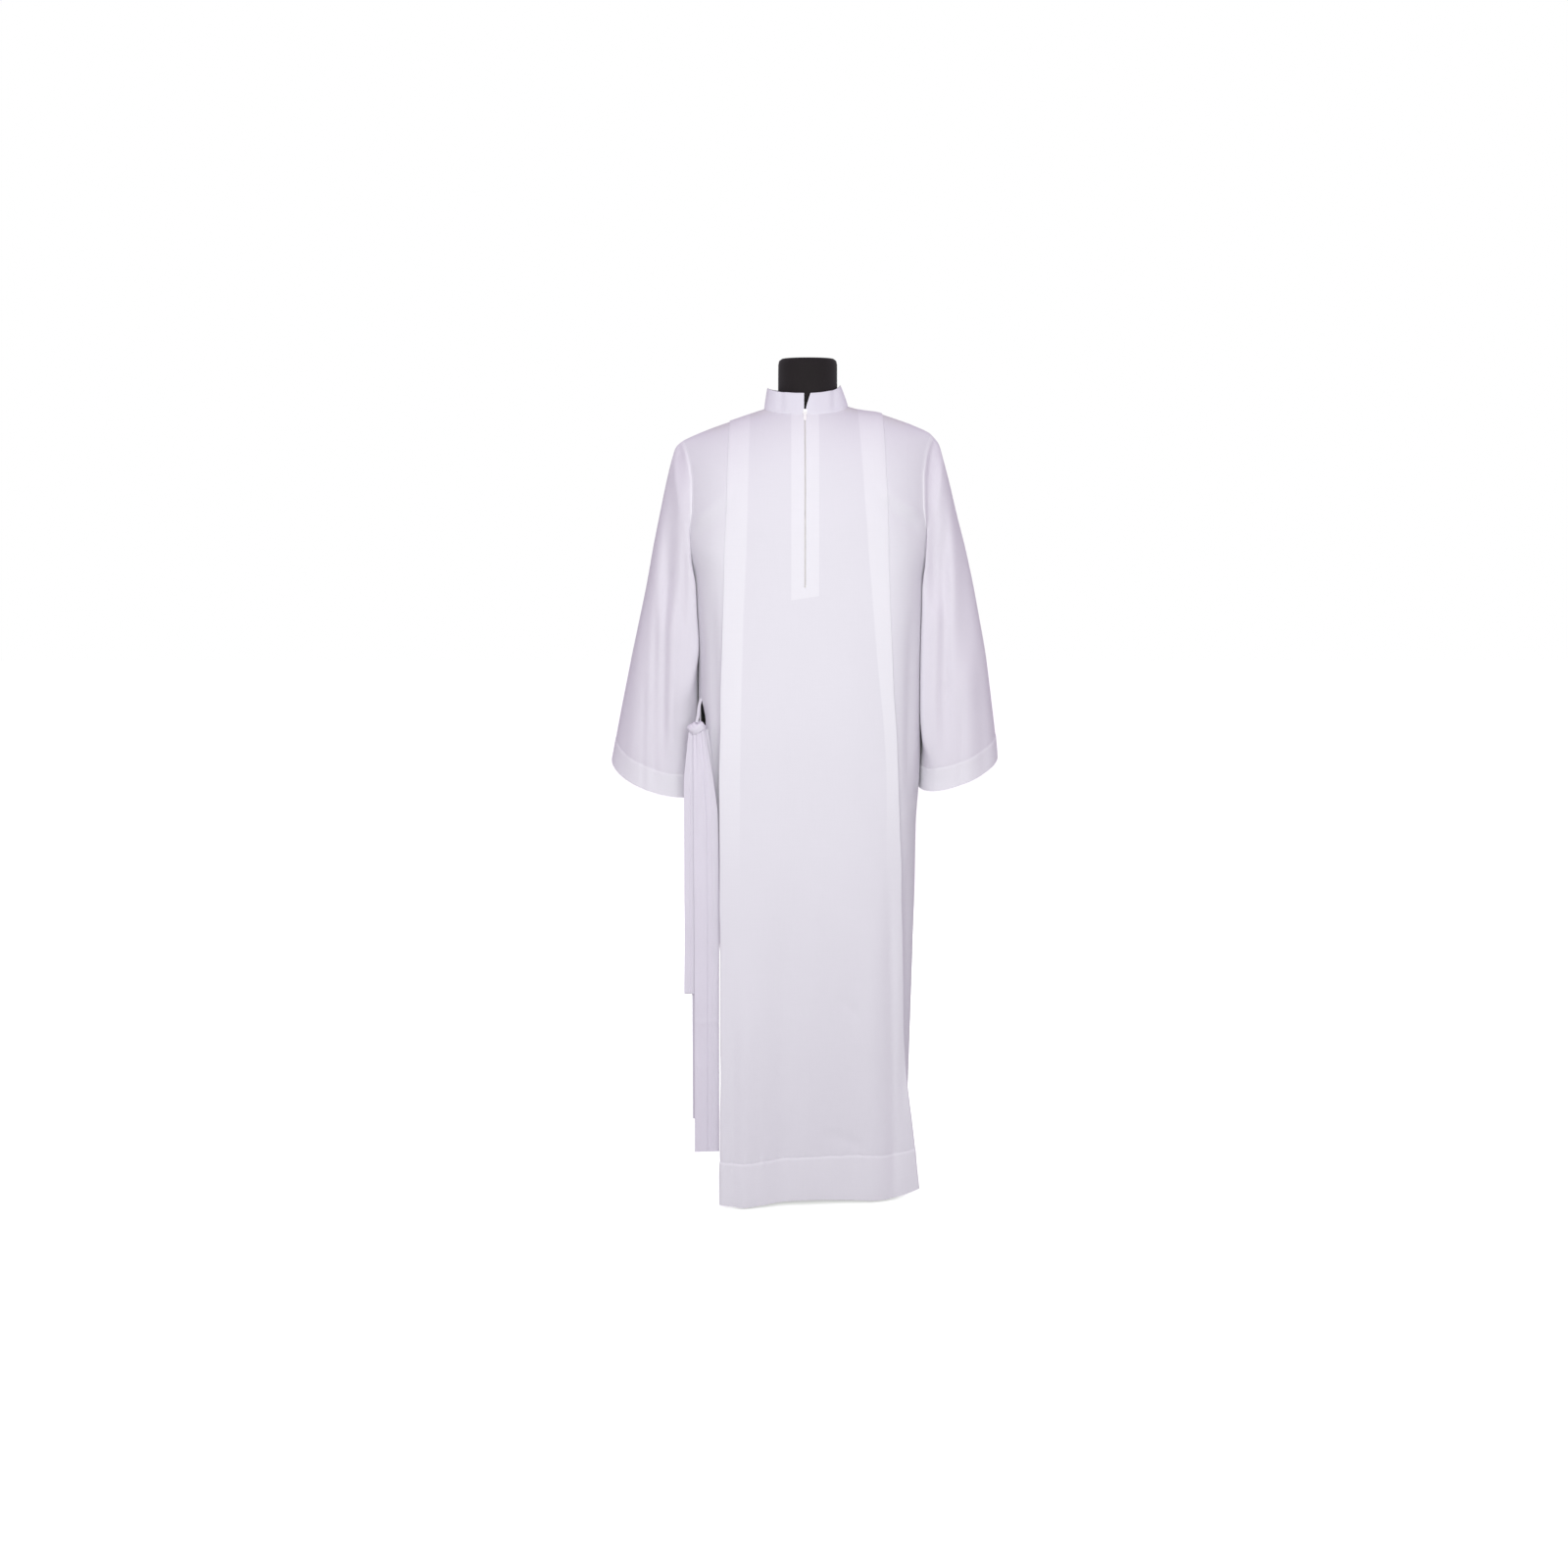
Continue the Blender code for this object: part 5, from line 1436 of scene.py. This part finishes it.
def circle(sides):
    turn = np.arange(sides) * 2 * math.pi / sides
    return np.stack([np.cos(turn), np.sin(turn)], axis=1)


def tube_points(path, radius, section, closed=False):
    """Rings along a path. Their section is a loop of (across, out) shares of the radius."""
    if closed:
        tangent = np.roll(path, -1, axis=0) - np.roll(path, 1, axis=0)
        out = path - path.mean(axis=0)
    else:
        tangent = np.gradient(path, axis=0)
        out = np.broadcast_to((0.02, -1.0, 0.01), path.shape)
    tangent = unit(tangent)
    across = unit(np.cross(tangent, out))
    out = np.cross(across, tangent)
    away = across[:, None] * section[None, :, :1] + out[:, None] * section[None, :, 1:]
    return (path[:, None] + radius * away).reshape(-1, 3)


def tube(name, path, radius, section):
    points = tube_points(path, radius, section)
    return faces_mesh(name, points, ring_faces(len(path), len(section)))


class AlbMakeSash(bpy.types.Operator):
    """Makes the knotted cloth sash: its knot, doubled stretch and two hanging ends"""

    bl_idname = "alb.make_sash"
    bl_label = "Sash"

    def execute(self, context):
        for name, rows, depth, gather, seed, crease in SASH_ENDS:
            self.end(name, rows, depth, gather, seed, *crease)
        self.bight()
        self.knot()
        return {"FINISHED"}

    def ribbon(self, rows, height, depth):
        """A band's grid of points down its table, and each column's share of its width."""
        share = np.linspace(-0.5, 0.5, BAND_COLUMNS)
        x = rows.read("centre", height)[:, None] + rows.read("width", height)[:, None] * share
        rest = np.stack([np.broadcast_to(depth, height.shape), height], axis=1)
        rest = np.broadcast_to(rest[:, None], (*x.shape, 2))
        return np.concatenate([x[..., None], rest], axis=2), share

    def gathers(self, share, below, size, seed, waves, lean, reach):
        """Lengthwise folds that fan out from the knot."""
        fan = np.sin(share[None, :] * 2 * math.pi * waves + seed + below[:, None] * lean)
        return size * fan * np.exp(-below / reach)[:, None]

    def press(self, share, below, presses):
        """Pressed lines along the band that start below the knot."""
        lines = sum(size * bell(share - place, wide) for place, size, wide in presses)
        return lines[None, :] * soft_step(below, 0.04, 0.12)[:, None]

    def end(self, name, rows, depth, gather, seed, crease, crease_depth):
        """One hanging end, creased once across and with a seam near its lower edge."""
        low, high = rows.columns["height"][[0, -1]]
        height = np.linspace(high, low, 170)
        points, share = self.ribbon(rows, height, depth)
        below, tall, wide = KNOT[2] - height, height[:, None], share[None, :]
        slack = 0.0007 * ripple(tall + 0.1 * wide, 0.21, seed)
        push = self.gathers(share, below, gather, seed, *END_GATHERS)
        push = push + self.press(share, below, END_PRESSES)
        push = push + slack * soft_step(below, 0.02, 0.1)[:, None]
        push = push + crease_depth * bell(tall - crease - 0.004 * wide, 0.0030)
        points[..., 1] += push + 0.0004 * bell(tall - low - 0.012, 0.0014)
        points[..., 2] += 0.0015 * wide * soft_step(low - tall, -0.05, 0)
        self.band(name, points, share)

    def band(self, name, points, share):
        """A double band, softly rounded at its two folded edges."""
        edge = np.sqrt(np.clip((0.5 - abs(share)) / 0.06, 0.12, 1))
        thickness, values = BAND_CLOTH * edge[None, :], marks(points.shape[:2])
        item = shell(name, points, thickness, sash_cloth(), values=values)
        length = float(run_along(points[:, len(share) // 2])[-1])

    def bight(self):
        """The doubled stretch: down in front, round its end and up again behind."""
        front, back = BIGHT_DEPTHS
        middle, radius = (front + back) / 2, (back - front) / 2
        low, high = BIGHT.columns["height"][[0, -1]]
        down = np.linspace(high, low, 90)
        turn = np.linspace(0, math.pi, 13)[1:-1]
        height = np.concatenate([down, low - radius * np.sin(turn), down[::-1]])
        level = 0 * down
        depth = np.concatenate([level + front, middle - radius * np.cos(turn), level + back])
        points, share = self.ribbon(BIGHT, height, depth)
        below = KNOT[2] - height
        sign = np.where(depth < middle, 1, -1)[:, None]
        push = self.gathers(share, below, 0.0011, 0.8, *BIGHT_GATHERS)
        points[..., 1] += push + sign * self.press(share, below, BIGHT_PRESSES)
        self.band("sash_bight", points, share)

    def knot(self):
        """A soft core with two creased wraps of the sash drawn tight round it."""
        rings, sides = 30, 56
        centre, half = np.array(KNOT), np.array(KNOT_HALF)
        tilt = math.pi * np.arange(1, rings)[:, None] / rings - math.pi / 2
        turn = 2 * math.pi * np.arange(sides)[None, :] / sides
        flat = np.cos(tilt)
        way = np.stack([flat * np.cos(turn), flat * np.sin(turn), np.sin(tilt) + 0 * turn], axis=-1)
        pull = (abs(way) ** KNOT_POWER).sum(axis=-1, keepdims=True) ** (-1 / KNOT_POWER)
        fold = 1 - 0.05 * abs(np.sin(3.5 * turn + 2.2 * np.sin(tilt * 2)))[..., None]
        points = [(centre + half * KNOT_CORE * way * pull * fold).reshape(-1, 3)]
        faces = ring_faces(rings - 1, sides)
        section = circle(20)
        section[:, 1] *= 0.34 * (1 + 0.16 * np.cos(np.arange(20) * 2 * math.pi / 20 * 5))
        angle = np.linspace(0, 2 * math.pi, 61)[:-1, None]
        start = (rings - 1) * sides
        for lean, side_lean, width, scale in KNOT_WRAPS:
            along = unit(np.array((math.cos(lean), side_lean, math.sin(lean))))
            deep = unit(np.cross(along, (0.0, 0.0, 1.0)))
            way = np.cos(angle) * along + np.sin(angle) * deep
            reach = (abs(way / half) ** KNOT_POWER).sum(axis=1) ** (-1 / KNOT_POWER)
            path = centre + way * (reach * scale)[:, None]
            points.append(tube_points(path, width, section, closed=True))
            faces += ring_faces(len(path), len(section), closed=True, start=start)
            start += len(points[-1])
        points = np.concatenate(points)
        mesh = faces_mesh("sash_knot_cloth", points, faces, sharp=80)
        corners = points[[loop.vertex_index for loop in mesh.loops]][:, [0, 2]]
        uv = mesh.uv_layers.new(name="cloth")
        uv.data.foreach_set("uv", corners.astype(np.float32).ravel())
        add_piece("sash_knot_cloth", mesh, sash_cloth(), "sash_knot")


class AlbMakeBeltLoops(bpy.types.Operator):
    """Makes the narrow belt loops at the top of the side slits"""

    bl_idname = "alb.make_belt_loops"
    bl_label = "Belt loops"

    def execute(self, context):
        front = BODIES["front"].build()
        row = abs(front.rows - SLIT_TOP).argmin()
        normal = grid_normals(front.points)
        share = np.linspace(0, 1, 36)[:, None]
        places = np.linspace(-0.5, 0.5, 7)
        thickness = LOOP_CLOTH * np.sqrt(np.clip((0.5 - abs(places)) / 0.12, 0.2, 1))[None, :]
        for side, column in ((-1, 0), (1, -1)):
            out = normal[row, column]
            out = out * np.sign(out[0] * side + 1e-9)
            start = front.points[row, column] + out * (CLOTH + SEAM)
            end = np.array(LOOP_LEFT_END) if side < 0 else start + np.array(LOOP_RIGHT_FALL)
            across = unit(np.cross(end - start, (0.35 * side, -1.0, 0)))
            line = start + (end - start) * share
            line = line + out * 0.0008 * np.sin(share * math.pi * 2) * np.sin(share * math.pi)
            points = line[:, None] + across * LOOP_WIDTH * places[None, :, None]
            values = marks(points.shape[:2])
            shell("belt_loop_" + side_name(side), points, thickness, alb_cloth(), values=values)
        return {"FINISHED"}


class AlbMakeStitching(bpy.types.Operator):
    """Sews the hems, the zip and the cuffs with rows of thread"""

    bl_idname = "alb.make_stitching"
    bl_label = "Stitching"

    def execute(self, context):
        runs = [*self.hem("front"), *self.hem("back"), self.cuff("left"), self.cuff("right")]
        low = ZIP_END - ZIP_STITCH_LOW
        for offset in (-ZIP_STITCH_X, ZIP_STITCH_X):
            runs.append(zip_line(offset, low, ZIP_STITCH_BEHIND, 0.002))
        offsets = np.linspace(-ZIP_STITCH_X, ZIP_STITCH_X, 12)
        runs.append([grid[0] for grid in zip_grid(offsets, low, ZIP_STITCH_BEHIND, 0.002)])
        thread = grain_material("sewing thread", trim().thread, 0.6, 0.0, 2500.0, 0.3)
        add_piece("stitching", stitches("stitching", runs, trim().stitch), thread)
        return {"FINISHED"}

    def hem(self, name):
        """Lines along the hem's seam, on the cloth's outer face, where no pleat covers it."""
        body = BODIES[name].build()
        shape = body.points.shape
        vertices = bpy.data.objects[name + "_cloth"].data.vertices
        outer = np.array([vertex.co for vertex in vertices])[: shape[0] * shape[1]].reshape(shape)
        above = hem_shift(body.rows[:, None], outer[..., 0])
        picked = abs(above - HEM_EDGE).argmin(axis=0), np.arange(shape[1])
        line, out = outer[picked], grid_normals(outer)[picked]
        out *= np.sign((out * line * (1, 1, 0)).sum(axis=1, keepdims=True))
        shown = np.flatnonzero(body.doubled[0] != INSIDE)
        parts = np.split(shown, np.flatnonzero(np.diff(shown) > 1) + 1)
        return [(line[part], out[part]) for part in parts]

    def cuff(self, name):
        kept = np.array(bpy.data.objects[f"sleeve_{name}_cloth"]["cuff_line"]).reshape(-1, 6)
        kept = np.concatenate([kept, kept[:1]])
        return kept[:, :3] + kept[:, 3:] * 0.0005, kept[:, 3:]


def stitches(name, runs, pitch):
    """Short rounded stitches of thread along lines, each dipping into the cloth at its ends."""
    thick, section = 0.00019, circle(6)
    points, faces = [], []
    for line, out in runs:
        along = run_along(line)
        for place in np.arange(pitch / 2, along[-1] - pitch / 2, pitch):
            at, ahead = (points_at(place + step, along, line) for step in (0, pitch * 0.3))
            up, way = points_at(place, along, out), unit(ahead - at)
            across = np.cross(way, up)
            faces += ring_faces(len(STITCH_RINGS), len(section), start=len(points))
            for share, size, lift in STITCH_RINGS:
                centre = at + way * pitch * share + up * thick * lift
                points += [centre + thick * size * (a * across + b * up) for a, b in section]
    return faces_mesh(name, points, faces)


class AlbMakeForm(bpy.types.Operator):
    """Makes the limbless dress form in its black jersey cover, and finishes its stand"""

    bl_idname = "alb.make_form"
    bl_label = "Dress form"

    def execute(self, context):
        settings = context.scene.alb_form
        seat = 2 * LAYERS.read("spacing", SHOULDER_TIP) + CLOTH / 2 + FORM_CLEAR
        table = Table("height half front back", [*FORM_ROWS, *self.shoulders(seat)])
        keys = table.columns["height"]
        steps = [max(2, int((high - low) / FORM_STEP) + 2) for low, high in zip(keys, keys[1:])]
        spans = [np.linspace(*span)[:-1] for span in zip(keys, keys[1:], steps)]
        height = np.concatenate([*spans, keys[-1:]])[:, None]
        turn = (2 * math.pi * np.arange(FORM_SIDES) / FORM_SIDES)[None, :]
        cosine, sine = np.cos(turn), np.sin(turn)
        pull = (abs(cosine) ** FORM_POWER + abs(sine) ** FORM_POWER) ** (-1 / FORM_POWER)
        x = table.read("half", height) * pull * cosine
        tilt = SHOULDER_TILT * x + shoulder_swell(x)
        z = height + np.interp(height, *FORM_FOLLOW) * tilt
        behind, ahead = table.read("back", height), table.read("front", height)
        y = np.where(sine > 0, behind, ahead) * pull * sine
        under = (height > ARMPIT) & (height < NECK_FRONT)
        for body in BODIES.values():
            for side in (-1, 1):
                most = body_depth(body.panel, side, x, z, z, seat) * rounding(ridge(x) - seat - z)
                here = under & (np.sign(x) == side) & (np.sign(y) == body.facing)
                y = np.where(here, body.facing * np.minimum(abs(y), np.maximum(most, 0)), y)
        points = np.stack(np.broadcast_arrays(x, y, z), axis=-1).reshape(-1, 3)
        mesh = faces_mesh("form", points, ring_faces(len(height), FORM_SIDES), sharp=60)
        add_piece("form_cover", mesh, jersey_material(settings.cover), "form_torso")
        steel = grain_material("coated steel", settings.steel, 0.45, 0.5, 700.0, 0.25, wear=0.5)
        finish_nodes(("form_plate", "stand_pole", "stand_base"), steel)
        return {"FINISHED"}

    def shoulders(self, seat):
        """Rows of the form's table along its shoulders, close under the cloth."""
        for height, depth in FORM_SHOULDER_ROWS:
            reach = HALF_SHOULDER - (height / 1000 + seat - SHOULDER_TIP) / SHOULDER_SLOPE
            yield height, 1000 * math.sqrt(reach**2 - RIDGE_SOFTNESS**2), depth, depth


class AlbMakeStage(bpy.types.Operator):
    """Sets the pale floor, the soft studio light and the camera"""

    bl_idname = "alb.make_stage"
    bl_label = "Stage"

    def execute(self, context):
        settings = context.scene.alb_stage
        self.floor()
        self.world(settings.surround, settings.surround_colour)
        for name, place, aim, size, share in LIGHTS:
            self.light(name, place, aim, size, settings.key * share, settings.key_colour)
        camera = bpy.data.objects.new("camera", bpy.data.cameras.new("camera"))
        camera.location = settings.camera_place
        camera.rotation_euler = (math.pi / 2 - settings.pitch, 0, 0)
        camera.data.lens = settings.lens
        camera.data.sensor_width = 36
        camera.data.clip_end = 60
        context.scene.collection.objects.link(camera)
        context.scene.camera = camera
        context.scene.view_settings.view_transform = "Standard"
        return {"FINISHED"}

    def floor(self):
        """A wide pale floor that brightens away from the form until it meets the white surround."""
        material, nodes, shader = start_material("pale floor")
        position = nodes.position()
        seen = nodes.add("LightPath").outputs["Is Camera Ray"]
        base = nodes.mix(seen, FLOOR_LIT, FLOOR_SEEN)
        tone = nodes.line(nodes.noise(position, 1.2, 2.0), 0.02, 0.985)
        away = nodes.add("VectorMath", {0: position}, operation="LENGTH").outputs["Value"]
        glow = nodes.times(nodes.line(nodes.ramp(away, 0.3, 4.0), 0.12, 0.50), seen)
        white = nodes.add("CombineColor", {0: glow, 1: glow, 2: glow}).outputs[0]
        nodes.feed(shader, {
            "Base Color": nodes.shade(base, tone),
            "Emission Color": white,
            "Emission Strength": 1.0,
            "Roughness": 0.9,
            "Specular IOR Level": 0.1,
        })
        half = FLOOR_HALF
        corners = [(-half, -half, 0), (half, -half, 0), (half, half, 0), (-half, half, 0)]
        mesh = bpy.data.meshes.new("floor")
        mesh.from_pydata(corners, [], [(0, 1, 2, 3)])
        mesh.materials.append(material)
        floor = bpy.data.objects.new("floor", mesh)
        bpy.context.scene.collection.objects.link(floor)

    def world(self, strength, colour):
        world = bpy.data.worlds.new("studio")
        world.use_nodes = True
        nodes = Nodes(world.node_tree)
        seen = nodes.add("LightPath").outputs["Is Camera Ray"]
        light = (*(strength * channel for channel in colour), 1)
        background = world.node_tree.nodes["Background"]
        nodes.feed(background, {"Color": nodes.mix(seen, light, SURROUND_SEEN)})
        bpy.context.scene.world = world

    def light(self, name, place, aim, size, power, colour):
        data = bpy.data.lights.new(name, "AREA")
        data.shape = "DISK"
        data.size = size
        data.energy = power
        data.color = colour
        lamp = bpy.data.objects.new(name, data)
        lamp.location = place
        lamp.rotation_euler = (Vector(aim) - Vector(place)).to_track_quat("-Z", "Y").to_euler()
        lamp.visible_camera = False
        bpy.context.scene.collection.objects.link(lamp)


class AlbPanel(bpy.types.Panel):
    """Lists the settings and the pieces of the alb"""

    bl_idname = "VIEW3D_PT_alb"
    bl_label = "Alb on a dress form"
    bl_space_type = "VIEW_3D"
    bl_region_type = "UI"
    bl_category = "Alb"

    def draw(self, context):
        for group in GROUPS:
            settings = getattr(context.scene, group)
            box = self.layout.box()
            for name in settings.__annotations__:
                box.prop(settings, name)
        for operator in OPERATORS:
            self.layout.operator(operator.bl_idname)


GROUPS = {
    "alb_cloth": AlbClothSettings,
    "alb_trim": AlbTrimSettings,
    "alb_form": AlbFormSettings,
    "alb_stage": AlbStageSettings,
}
OPERATORS = (
    AlbMakeStage,
    AlbMakePanels,
    AlbMakeSleeves,
    AlbMakeCollar,
    AlbMakeZip,
    AlbMakeBeltLoops,
    AlbMakeSash,
    AlbMakeForm,
    AlbMakeStitching,
)


def register():
    for group in GROUPS.values():
        bpy.utils.register_class(group)
    for operator in (*OPERATORS, AlbPanel):
        bpy.utils.register_class(operator)
    for name, group in GROUPS.items():
        setattr(bpy.types.Scene, name, PointerProperty(type=group))


def unregister():
    for name in GROUPS:
        delattr(bpy.types.Scene, name)
    for operator in (AlbPanel, *reversed(OPERATORS)):
        bpy.utils.unregister_class(operator)
    for group in GROUPS.values():
        bpy.utils.unregister_class(group)


def main():
    register()
    for operator in OPERATORS:
        family, name = operator.bl_idname.split(".")
        getattr(getattr(bpy.ops, family), name)()


if __name__ == "__main__":
    main()
